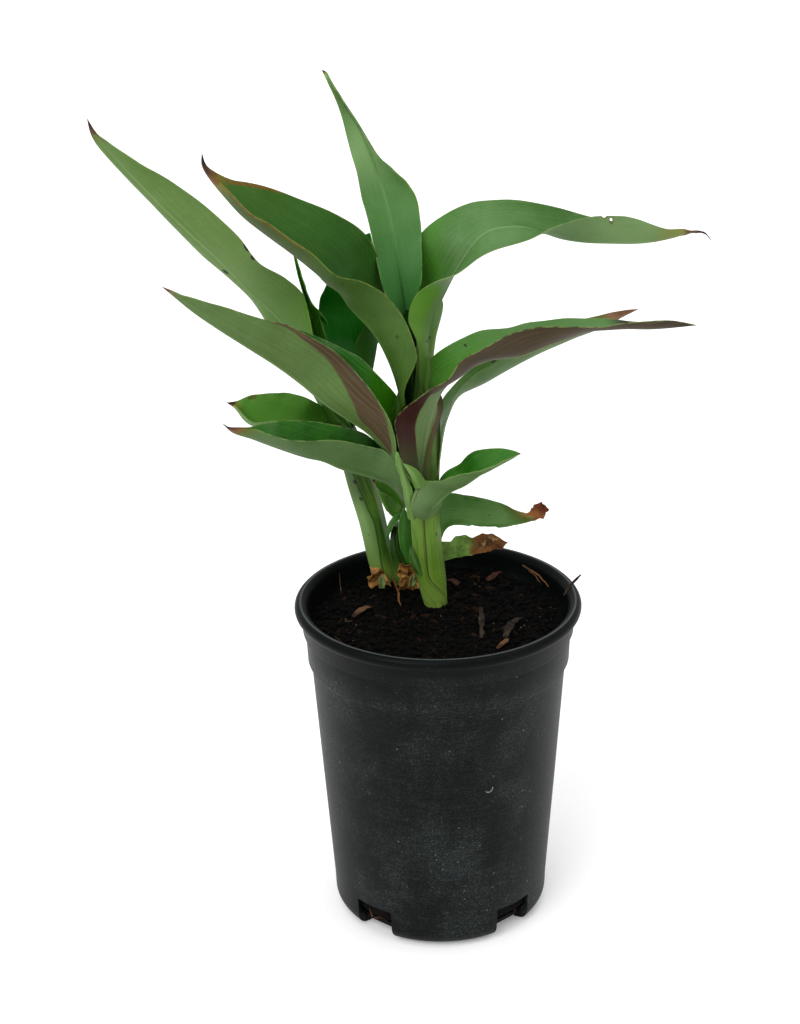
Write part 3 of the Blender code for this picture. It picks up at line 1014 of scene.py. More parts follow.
@dataclass(frozen=True)
class EarthFinish:
    """Crumbly matter: soil, chips or perlite."""

    base: Colour = (30, 24, 20)
    deep: Colour = (4, 4, 4)
    pale: Colour = (70, 54, 42)
    grain: float = 700.0

    DETAIL = (4.0, 0.7)
    COARSER = 0.2
    ROUGH = 0.9
    GLOSS = 0.08

    def material(self, name: str) -> bpy.types.Material:
        """Makes the material.

        Args:
            name: The material's name.

        Returns:
            The material.
        """
        kit = NodeKit(name)
        crumbs = kit.noise(kit.place(), Grain(self.grain, *self.DETAIL))
        clouds = kit.noise(kit.place(), Grain(self.grain * self.COARSER))
        tone = kit.paint(
            self.deep,
            (crumbs.step(0.35, 0.65), self.base),
            (clouds.step(0.56, 0.72) * crumbs.step(0.5, 0.7) * 0.6, self.pale),
        )
        return kit.finish(tone, self.ROUGH, kit.bump(crumbs, 1.0, 1.6), Specular_IOR_Level=self.GLOSS)


# ---------------------------------------------------------------- leaves


@dataclass(frozen=True)
class Outline:
    """The three lines that a leaf hangs on: its midrib and both margins, each from foot to tip.

    left and right are as seen from the foot, looking along the leaf at its upper face.
    """

    midrib: tuple[Point, ...]
    left: tuple[Point, ...]
    right: tuple[Point, ...]


def hung(*lines: tuple[float, ...], pointed: bool = True) -> Outline:
    """An outline from plain coordinates, three to a point.

    Args:
        *lines: The midrib, the left margin and the right.
        pointed: Whether both margins go on to the midrib's tip.

    Returns:
        The outline.
    """
    midrib, left, right = (tuple(zip(way[::3], way[1::3], way[2::3])) for way in lines)
    tip = midrib[-1:] if pointed else ()
    return Outline(midrib, left + tip, right + tip)


OUTLINES = {
    "leaf_top": hung(
        (
            -15.2, 24.2, 356.7, -19.1, 26.3, 382.5, -24.9, 32.2, 418.1, -33.3, 35.5, 445.6, -39, 35.6, 460,
            -47.9, 34.8, 474.7, -56.6, 33.3, 491.6, -58.7, 33.2, 493.1,
        ),
        (
            -17.8, 18.2, 356.3, -22.9, 16.3, 363.7, -27.5, 18.1, 373.5, -34.1, 25.6, 404.7, -37, 30.6, 416.1,
            -39, 32.2, 422.9, -41.4, 31.6, 437.6, -44.6, 33.5, 449.6, -47.5, 30.5, 463.6, -49.5, 29.8, 471.6,
            -52.3, 30.3, 479,
        ),
        (
            -14.4, 18.6, 358.7, -10.7, 16.9, 368.7, -7.1, 19.7, 379.4, -6.7, 28.9, 399.9, -7.1, 31, 410.3,
            -9.2, 33.1, 423.4, -13.3, 31.8, 430.5, -21.6, 25.8, 440.2, -30.2, 24.2, 449.6, -39.5, 25.7, 463.8,
            -49.8, 29, 481.3, -53.7, 30.3, 486.4, -56.2, 33.1, 491.9,
        ),
    ),
    "leaf_upper_left": hung(
        (
            -18.6, 11.7, 304, -19.6, 10.8, 315.6, -24, 8.7, 333.3, -30.3, 6.3, 348.8, -34.8, 5, 356.4,
            -46.4, 3.4, 370.4, -51.7, 2.9, 378.5, -58.2, 2.4, 383.5, -64.5, 1.9, 390.5, -98, -0.4, 419,
            -104.5, -0.9, 425.4, -115.1, -1.8, 438.8, -120.7, -2, 447.3, -122.2, -2, 451.5, -121.8, -2, 457.2,
        ),
        (
            -17.2, 0, 314.1, -17.5, -3.1, 321.9, -16.5, -5.1, 327.7, -11.2, -7, 340, -10.3, -7.1, 345.1,
            -17.3, -8.2, 367.3, -25.2, -9.9, 378.9, -29.7, -11.3, 383.4, -39.3, -15.5, 389.8, -52.9, -19.9, 395,
            -64.6, -19.4, 406.9, -75.4, -18.8, 414.2, -86.8, -17.2, 422.4, -94.9, -16.1, 427,
            -100.1, -14.8, 431.5, -108.1, -11.9, 439.7, -117.5, -8, 447.8, -120.9, -3.9, 451.8,
        ),
        (
            -17, 23.6, 311.5, -17.3, 31.4, 318.1, -17.6, 35.1, 324.7, -18.3, 36.9, 337.3, -20.5, 36.1, 351.8,
            -25, 33, 369, -28.8, 27.6, 384.1, -31.8, 21.6, 395.4, -36.9, 12.9, 407.6, -43, 9.7, 414.2,
            -53.1, 9.1, 420.8, -71.8, 12.6, 428.1, -88.2, 11.7, 435, -99.7, 11.8, 438, -107.7, 10.3, 439.8,
            -116.7, 6, 445.7, -120.4, 0.5, 451,
        ),
    ),
    "leaf_upper_right": hung(
        (
            -6.3, 24, 308.2, -3.3, 24, 345, 0.4, 24.2, 359.6, 7.2, 24.9, 374.2, 14.3, 25.9, 386.8,
            23.5, 27.5, 399.5, 29, 28.3, 403.9, 35.7, 29.3, 406.1, 47.1, 30.7, 406.3, 55.6, 31.8, 404.3,
            72.1, 33.7, 397.8, 105.4, 35.7, 394, 121.3, 36, 394.5, 147.8, 36, 399.8, 150.5, 36, 398.5,
            153.6, 36, 395.3,
        ),
        (
            -3.4, 26.5, 309.7, 0.8, 32.8, 342, 5, 37.5, 361.7, 2.5, 38.3, 363.6, -6.1, 39, 364.1,
            -9.2, 39.4, 365.4, -12.1, 40, 371.6, -12.5, 39.6, 377.1, -11, 35.2, 392.5, -8.7, 33.9, 399.4,
            -4.4, 35.4, 404.4, 5.3, 41.5, 409.8, 12.9, 44.4, 413.1, 22.6, 46, 416.2, 34.5, 46.4, 417.2,
            46.4, 46, 417, 61.6, 45.6, 414.3, 90.2, 48.7, 405.6, 110.5, 48, 401.4, 132.3, 44.6, 398.2,
            138.9, 42.6, 398, 148.5, 37.8, 399.1, 151.4, 36.8, 397.8,
        ),
        (
            -8.7, 13.3, 312.1, -8.8, 9.4, 327.7, -8.8, 8, 340.7, -10.5, 8.2, 349.7, -14.6, 9.6, 359.1,
            -14.4, 10.2, 363.5, -12.8, 10.5, 369.3, -8.6, 9.7, 375.6, 0, 7.3, 382, 12.1, 5.6, 387.3,
            24, 7.1, 395.3, 34.6, 8.9, 399.7, 52.7, 11.8, 404.2, 64.5, 16.8, 408.9, 84.9, 28, 411.4,
            103.5, 37.5, 409.2, 108, 38.5, 408.3, 113.8, 38.2, 406.8, 128.7, 32.7, 402.7, 137.4, 32.3, 402.7,
            141.9, 32.8, 401.6, 149.6, 35.6, 400,
        ),
    ),
    "leaf_left": hung(
        (
            -15.8, 9.6, 247.1, -20, 7.4, 267.1, -23.4, 5.8, 277.5, -26.7, 4.7, 283.2, -38, 1.9, 297.5,
            -58.3, -1.1, 313.5, -80.3, -5, 334.9, -126.7, -15.2, 372.1, -145.1, -17.7, 389.5,
        ),
        (
            -12.8, 10.4, 259, -17.5, 0, 275.5, -21.9, -4.5, 283.5, -22.7, -7.4, 294.9, -24.2, -8.4, 302.9,
            -27, -8.8, 311.4, -31.9, -8.6, 320.1, -36.6, -7.1, 326.9, -49.8, 0.6, 340.6, -56, 0.6, 346.4,
            -67.8, -5.3, 356.1, -79.9, -9.1, 364.6, -91.9, -15.1, 369.8, -99.5, -17.6, 373,
            -115.7, -20.2, 379.5, -130.9, -21.2, 384.9, -134.3, -21.1, 385.8, -140.8, -18.1, 387.9,
        ),
        (
            -13.9, 18.6, 254.4, -14.3, 25.7, 261.3, -14.9, 29, 268.3, -16.6, 30.2, 280.2, -17.6, 28.6, 291.8,
            -19, 25.4, 302.4, -22.3, 21.3, 312.6, -33.9, 10.8, 330.4, -39.8, 8.4, 337.9, -43.8, 8, 341.1,
            -48.2, 8.5, 343.3, -59.4, 13, 347.7, -66.2, 14.5, 350.5, -79.1, 14.2, 355.3, -91, 12, 359,
            -106, 6.7, 365.3, -124.7, -2.5, 375.2, -135.4, -9.1, 381.4, -140.2, -14.7, 385.7,
        ),
    ),
    "leaf_right": hung(
        (
            -7.1, 9.7, 261.6, -8.2, 8.8, 274.5, -0.9, 4.4, 311.1, 4.3, 2.8, 322.4, 11.9, 1.6, 329.8,
            27.3, -0.5, 339.2, 45.8, -3.4, 342.8, 63, -7, 350.8, 87.5, -11.9, 360, 96, -13.2, 361,
            115.4, -16.2, 361.1, 139.5, -19.6, 364,
        ),
        (
            -4.5, 9.1, 263.1, -2.6, 10.5, 283, 2.7, 13, 301.7, 4.2, 14.8, 308.6, 2.2, 17.8, 314.9,
            -7.1, 20.5, 318.2, -8.6, 21.3, 320.5, -8.7, 22, 323.3, -1, 23.2, 334.1, 8.5, 22.8, 341.2,
            17.5, 21.8, 346.4, 25.7, 20.5, 349.7, 41.4, 17.8, 352.1, 52.4, 15.8, 355.7, 72.1, 10.9, 359,
            98.4, 1.9, 360.7, 110.6, -3.2, 361.1, 125.3, -10.4, 362.7, 132.9, -16.6, 363.7,
        ),
        (
            -11.2, -2.2, 264.2, -15.8, -4.8, 273, -19.1, -5.7, 281.8, -22.7, -3.1, 300.2, -22.9, -3.5, 306.3,
            -12.1, -11.6, 320.8, -4.2, -15.8, 328.3, 6.5, -18.7, 335.7, 12.2, -18.3, 343.7, 15.4, -18.3, 346.5,
            23.7, -18.1, 351.3, 35.8, -16.1, 357.5, 43.3, -16.3, 360.9, 55.2, -19.3, 364, 75.2, -24.6, 365.6,
            87.3, -26, 366, 100.9, -24.7, 367.4, 125.7, -21.5, 367.3, 132.7, -19.6, 365.6,
        ),
    ),
    "leaf_right_back": hung(
        (
            -1.6, 26.5, 258.4, 1.6, 30.2, 282.3, 6.4, 31.4, 297.6, 11.8, 32.5, 306.4, 29.3, 36.1, 314.3,
            50.2, 42.1, 324.2, 78.7, 48.9, 334.9, 93.3, 51.2, 339.7, 116.5, 53.7, 350.3,
        ),
        (
            -4.3, 35.9, 260.9, -2.2, 42.6, 268.3, -0.6, 46.1, 274.8, 1.6, 49.3, 288.2, 5.7, 50.9, 299.3,
            12.1, 52.2, 307.6, 34.5, 56.5, 326.6, 41.7, 57.8, 330.8, 51.5, 59.4, 334.4, 63.7, 60.9, 337.7,
            79.2, 61.7, 340.9, 89.5, 60.9, 343.3, 103.6, 58.4, 347.2, 111.4, 55.1, 349.6,
        ),
        (
            0.5, 17.8, 263.1, 2, 14.7, 276.5, 5.1, 14, 299.6, 10.4, 14.7, 313.3, 16.2, 16.8, 320.1,
            35.7, 24, 331.5, 52.6, 29.4, 337.6, 81.3, 39.3, 344.1, 103, 46, 346.4, 107.3, 49.1, 348.6,
            111.6, 51.9, 348.8,
        ),
    ),
    "leaf_low_left": hung(
        (
            -15.8, 11.5, 246.3, -23.1, 7.9, 260, -28.1, 5.9, 265.6, -53.8, -1.4, 277.8, -63.2, -4.5, 283.4,
            -71.6, -7.2, 286.6, -86.4, -11.9, 294, -100.9, -15.6, 301.5, -111.6, -17.4, 306.2,
            -116.6, -17.9, 311.5,
        ),
        (
            -14.6, 4.3, 254.2, -18, -0.7, 265.9, -20.8, -2.2, 275.3, -22.4, -1.8, 279, -24.6, -0.2, 282.8,
            -29.7, 1.8, 287.1, -34.2, 0.5, 288.9, -56, -10.1, 297.9, -69.6, -17.3, 300.4, -79.3, -20.7, 302.3,
            -88.1, -21.6, 305.1, -98.2, -21, 308.7, -109.6, -20.2, 309.5, -112.7, -18.8, 309.3,
        ),
        (
            -15.6, 17.5, 256.2, -18.8, 22.3, 263.7, -22.3, 21.8, 272.3, -26.5, 19.2, 279.4, -30.4, 16.1, 283.1,
            -35.5, 11, 290.1, -40.5, 8.9, 294.5, -62.3, 1.9, 303.7, -78.6, -4.1, 307.6, -83.8, -5.1, 307.9,
            -92.9, -4.5, 306.7, -99.5, -6.3, 305.9, -103.8, -8.5, 305.8, -110.2, -12.3, 307.2,
            -114.3, -16.5, 309.3,
        ),
    ),
    "leaf_low_right": hung(
        (
            -7.3, 10.5, 240.4, -4.7, 10, 246.4, -1.3, 9.3, 249.3, 7, 6, 259, 16, 1.6, 265.4, 27.1, -4.7, 275.5,
            46.1, -13.6, 289.5,
        ),
        (
            2, 15, 243.3, 2.9, 21, 246, 2.7, 23.4, 250.9, 2.1, 21.7, 260.3, 6.2, 18.4, 267.1, 13, 13.9, 273,
            18.4, 4.7, 282.6, 21.7, 1.5, 285.7, 34, -5.2, 289.7, 42.3, -9.7, 289.9,
        ),
        (
            -14.2, -2.9, 249.3, -14.6, -4.4, 253.6, -14.6, -4.3, 256.8, -11.8, -0.6, 264.3, -9.4, -0.4, 267.5,
            -4.7, -3.2, 269.9, 2.5, -8.4, 272, 13.4, -14, 278.3, 21.9, -17.6, 280.6, 29.1, -18.3, 283.7,
            37.2, -17.6, 286.9, 41.6, -16.4, 288.5, 43.9, -14.2, 288.7,
        ),
    ),
    "leaf_curled": hung(
        (
            0.9, 26.1, 217.7, 4.5, 26.8, 227.2, 8.3, 26.5, 230.5, 15, 25.8, 231.4, 26.3, 24.6, 228.9,
            39.9, 24, 229.3, 56.3, 24, 233.4, 61.7, 24.2, 235.6, 65, 24.6, 239.1, 63.6, 24.9, 242.4,
        ),
        (
            1.1, 32.2, 225.9, 1.7, 38.2, 229.3, 2.5, 39.7, 234.1, 3.3, 39, 237.6, 4.7, 36.8, 241.4,
            7, 33.9, 244.5, 9.4, 32.5, 245.8, 31.6, 30.3, 242.6, 40.9, 34.5, 237.1, 44, 34.5, 235.3,
            47.7, 33.5, 234, 51.1, 32, 233.9, 53.9, 30, 234.8, 56.6, 27.1, 239.5,
        ),
        (
            -0.3, 21.8, 226, -0.1, 19.1, 234.3, 0.6, 20.2, 240.9, 1.3, 23, 243.3, 3.4, 29.7, 245.3,
            5.4, 31.8, 246.5, 7.8, 32.6, 247.5, 34.8, 29.8, 243.1, 37.8, 28.2, 242.5, 43.4, 22.3, 241.7,
            47.8, 20.6, 240.2, 51.1, 21, 239.5, 53.8, 22.5, 239.1, 55.3, 25.7, 240.9, 57.2, 26.6, 241.8,
            61.4, 26.2, 243.1,
        ),
    ),
    "leaf_high_left": hung(
        (
            -42.9, 55.7, 248.6, -50.6, 53.9, 278.8, -54.6, 53, 290.8, -64.7, 51.7, 313.4, -74.8, 50.9, 331.3,
            -90, 49.9, 351.5, -103.7, 49, 365.8, -113, 47.8, 377.4, -147.7, 40.1, 416.3, -180.7, 30.1, 458.5,
            -184, 29.2, 463.7, -185.1, 28.6, 469.8,
        ),
        (
            -39.2, 48.4, 254, -42.9, 42.5, 272.5, -45.7, 40, 282, -51.9, 36.9, 296, -58.9, 34.6, 309,
            -62.9, 33.7, 319, -66, 33.5, 330.9, -68, 34.8, 344.3, -72.1, 40, 363, -74.1, 41, 367.4,
            -82.5, 40.3, 375.7, -96.1, 36.8, 385.7, -108, 37.2, 401.4, -125.1, 37.3, 418.7, -142.4, 34, 433.5,
            -159.2, 28.3, 445.7, -169.3, 26.5, 453.3, -175.3, 26.4, 458.3, -180.3, 27.9, 461.9,
        ),
        (
            -47.7, 58.4, 250.1, -52.4, 60.5, 260.7, -55.9, 60.7, 268.6, -71, 57.2, 302.5, -81.7, 55.6, 322,
            -91.1, 56.6, 337.3, -103.6, 59.6, 357.6, -109.6, 59.9, 365.2, -116.4, 59, 372.2,
            -129.2, 55.4, 384.7, -144.5, 51, 403.5, -157.2, 46, 419.9, -181.5, 32.7, 454.7, -184.2, 30.1, 462.1,
        ),
    ),
    "leaf_back_left": hung(
        (
            -48.5, 48.9, 256.5, -55, 48, 266, -63.7, 45.6, 274.3, -76.5, 41.3, 280.9, -93.8, 35.8, 287,
            -104.2, 33.3, 291.2, -108.8, 32.4, 294.9, -114, 31.4, 302.8, -118.1, 31.1, 306.1,
        ),
        (
            -50.7, 42.8, 261.5, -53.4, 38.2, 269.4, -56.7, 35.9, 276.7, -62, 34, 283.6, -68.5, 32.2, 288.9,
            -78, 28.9, 292.8, -86.6, 26.8, 295.5, -93.8, 25.4, 296.6, -102.4, 23.9, 296.3, -106.1, 24.6, 298.1,
            -113.2, 28.2, 305, -115.6, 30.3, 305.5,
        ),
        (
            -49.8, 58.5, 260.3, -51.5, 63.3, 263.1, -52.6, 65.3, 265.9, -54.6, 66.3, 271.4, -56.9, 65.4, 277.5,
            -59.4, 63, 283.9, -62.5, 58.9, 290.5, -69.7, 49.8, 299.2, -72.6, 47.7, 301.8, -81.7, 44.9, 305.8,
            -89.5, 42.6, 307.5, -106, 36.7, 307.7, -112.8, 35.4, 305.4,
        ),
    ),
    "leaf_back_upright": hung(
        (-37.8, 57.1, 299.9, -32, 59.8, 329.6, -30.1, 61.9, 346.7, -31.1, 65.1, 371.9, -35.3, 66.9, 393.8),
        (
            -51.2, 35, 305, -53.9, 32.2, 317, -55.5, 32.8, 323, -57.2, 34.6, 328.5, -61.1, 41.8, 339.7,
            -65.1, 54.2, 350, -65.3, 56, 352.3, -65.2, 56.6, 354.9, -64.1, 55, 360.2, -59.3, 50.4, 370.1,
            -57.2, 50.4, 374.5, -53.8, 52, 380.9, -48.4, 54.4, 387.2, -43.8, 57.6, 391.3, -41.3, 59.9, 392.9,
            -38.5, 64.8, 393.3,
        ),
        (
            -47.3, 52, 308, -47.2, 50.3, 312.2, -47.2, 49.9, 315.9, -46.8, 52.7, 325, -45.3, 54.3, 330.9,
            -43.3, 53.9, 335.9, -36.6, 50.8, 348.5, -32.7, 51.9, 361.5, -31.9, 53.9, 369, -32.1, 56.4, 375.7,
            -34.2, 62, 387.2,
        ),
    ),
    "leaf_rolled": hung(
        (-58.3, 58, 312.2, -72.6, 59.9, 358, -79.2, 60, 386.5),
        (-66.9, 59.7, 317.9, -67.7, 59.6, 325.4, -68.9, 56.1, 337.6, -71.3, 54.9, 351.4, -76.7, 56.8, 373.5),
        (
            -48.4, 56.4, 314.4, -49.7, 52.5, 319.6, -50.9, 51.3, 323.3, -60.1, 51, 345.8, -69.1, 50.9, 358.7,
            -71.6, 51.9, 364.3, -75.3, 55.7, 377.6,
        ),
    ),
    "leaf_shoot": hung(
        (
            -20.5, 43.7, 221.3, -19.8, 41.4, 228, -25.6, 39.7, 230.4, -27.1, 39.3, 232, -33.3, 38, 245.6,
            -36.3, 38.9, 254,
        ),
        (
            -18.6, 46.5, 227.8, -20, 40.8, 235.9, -22.2, 43.1, 237.8, -24.5, 42.4, 240.3, -28.3, 36.9, 245.4,
            -31.2, 34.7, 247.9, -34.5, 35.3, 251.2,
        ),
        (-18, 47.4, 229.9, -18.3, 44.8, 238.3, -22.7, 43.4, 245.9, -31.5, 40.6, 253.9, -34.2, 39.9, 254.6),
    ),
    "leaf_shoot_folded": hung(
        (-29.4, 40.8, 215.7, -28.6, 37.6, 223.8, -26.7, 35.7, 229.5, -23.1, 33.8, 234.2, -18.9, 32.1, 236.4),
        (-28.2, 38.6, 217.3, -27.2, 35.8, 220.8, -25.4, 33.7, 225.6, -23.2, 32.8, 229.1, -20.7, 33.3, 232.1),
        (-27.6, 42.7, 217.4, -27.1, 43.9, 218.8, -25.2, 40.7, 226.2),
    ),
    "leaf_bract": hung(
        (-16.7, 22.5, 208.2, -19.4, 23.8, 223.1, -18.5, 26.9, 241.7),
        (-12.1, 22.9, 209.2, -13.6, 25.3, 230.8),
        (-17.9, 23.7, 209.6, -19, 24.8, 211.7, -20.6, 24.9, 215.9, -22.1, 25, 229.1, -21.6, 25.7, 233.7),
    ),
    "leaf_stub": hung(
        (0.2, 24.3, 207.7, 26.5, 36.9, 207.8, 39, 39.9, 209.1, 42.4, 40.9, 212.1),
        (
            0.9, 31, 208.5, 3.2, 34.7, 209.9, 7, 36.8, 211.4, 12.5, 39.6, 212, 23.9, 44.8, 211.1,
            31.6, 44.8, 211.6, 37.7, 43.7, 210.3, 42.4, 40.4, 211,
        ),
        (
            0.3, 28.3, 216.8, 2.9, 29.9, 217.9, 7.7, 31, 217.7, 10.7, 34.1, 218.6, 14.4, 36.4, 219,
            17.8, 37.5, 218.7, 21.5, 35.9, 218.2, 25.7, 40.4, 217.5, 29.1, 41.7, 217.5, 38.9, 42.3, 214.6,
            42.4, 40.9, 212.1,
        ),
        pointed=False,
    ),
    "dried_scale_left": hung(
        (-32.5, 45.9, 176.3, -33.1, 42.6, 186.8, -36.8, 39.1, 196.5),
        (-37.3, 45.9, 176.4, -38.1, 42.6, 180.4, -39.3, 40.3, 186.4, -39.9, 40.7, 189.9, -39.2, 38.8, 196.1),
        (
            -27.1, 45.9, 176.2, -26.9, 41.4, 182.5, -27.6, 39.2, 188.7, -29, 39.1, 192.5, -30.9, 40.5, 194.1,
            -33.3, 39.3, 197,
        ),
        pointed=False,
    ),
    "dried_scale_middle": hung(
        (-15.2, 39.9, 176.2, -16.6, 35.4, 192.9, -19.7, 33.1, 202.2),
        (-21.2, 40.5, 177.3, -22.4, 34.7, 189.6, -22.7, 35, 194.6, -22.6, 33.1, 202.2),
        (
            -8.7, 39.8, 176.1, -9, 35.1, 183.9, -9.8, 32.5, 191.5, -10.7, 32.4, 195.3, -12.2, 34.3, 197.5,
            -15, 33, 202.1,
        ),
        pointed=False,
    ),
    "petiole_left": hung(
        (-13.9, 2.8, 243.2, -16.5, -2.7, 261.7, -21.8, -9.9, 290.2),
        (-11.3, 3.8, 245.7, -13.7, -1.5, 263.1, -17.8, -4.9, 277.4, -21.5, -9.9, 290.2),
        (-16.4, 3.5, 244.8, -19.8, -2.4, 269.3, -22.9, -8.1, 283.3, -22.6, -9.8, 290.2),
        pointed=False,
    ),
    "petiole_flap": hung(
        (-10, -2.2, 265.4, -12.6, -7.2, 273.5, -15.3, -9, 278.7, -18.8, -10, 283.5),
        (-6, -1, 268.4, -10.6, -5.9, 277.2, -14.2, -8, 280.8),
        (-12.5, -2.2, 265.4, -14.6, -6.8, 274.3),
    ),
    "petiole_top": hung(
        (-12.9, 17, 286.8, -13.1, 17, 338.2, -15.2, 17, 363.6),
        (
            -7.8, 20.6, 285.4, -7.8, 22.2, 288.2, -7.9, 22.5, 291.1, -8.4, 20.3, 317.2, -9.2, 20.2, 343.9,
            -10.4, 20, 352.1, -12.4, 19.8, 357.9, -14.6, 17, 363.6,
        ),
        (
            -18, 20.8, 285.5, -17.9, 22.4, 288.3, -17.8, 22.7, 292.2, -17.4, 20.6, 318.8, -17.8, 19.1, 356.5,
            -16.3, 17, 363.6,
        ),
        pointed=False,
    ),
    "petiole_inner": hung(
        (-17.8, 12.9, 260.5, -21.3, 11, 292.3, -21.2, 11.1, 305, -19.8, 11.9, 317.5),
        (
            -14.4, 16.5, 260.2, -15, 17.3, 264.1, -16.3, 16.1, 273.4, -17.4, 13.5, 288.8, -16.9, 11.5, 297.6,
            -16.1, 11.4, 307.2, -18.1, 11.9, 317.5,
        ),
        (
            -20.7, 15.6, 259.5, -21.4, 16.2, 264.3, -23.7, 13.5, 284, -24.3, 12.9, 297.1, -23.2, 12.9, 309.1,
            -20.9, 11.9, 317.6,
        ),
        pointed=False,
    ),
    "petiole_scrap": hung(
        (-46.6, 41, 286.3, -50.9, 40, 290.9, -59.2, 40, 298.2),
        (-45.9, 39.5, 288.3, -52.1, 39.2, 294.9),
        (-48.3, 38.1, 285.9, -49.8, 37.4, 287, -53.1, 39.1, 288.3, -55.1, 39.1, 290.1, -58.2, 38.8, 295.6),
    ),
    "stem_scrap": hung(
        (-9.4, 11, 205.7, -13.1, 11.5, 214.5, -15.2, 13.9, 222.8),
        (-7, 12.8, 205.4, -7.6, 13.4, 206.8, -9.3, 12.4, 212.2, -14.6, 13.9, 222.8),
        (
            -11.7, 11.9, 205.9, -12.4, 12.7, 206.7, -14.1, 11.2, 210, -15.4, 11.4, 213.2, -16, 12.1, 217.1,
            -15.5, 13.9, 222.8,
        ),
        pointed=False,
    ),
    "scale_green": hung(
        (-15.2, 24, 192.7, -13.9, 22, 201.3),
        (-13.1, 22.9, 193.2, -12.9, 22.2, 194.4, -12.2, 23.2, 196.7, -12.7, 22, 199.5, -13.6, 22.3, 201.9),
        (-16.4, 22.1, 193.6, -15.7, 21.3, 198.6, -13.9, 22, 201.3),
        pointed=False,
    ),
    "scale_pale": hung(
        (-32.2, 29, 189.4, -32, 27, 199.4),
        (-30.7, 27.3, 190.2, -30.5, 26.8, 191.5, -30.1, 27.8, 194.3, -31.7, 27, 199.4),
        (-34, 27.5, 190.2, -34, 26.6, 195.7, -32, 27, 199.4),
        pointed=False,
    ),
}


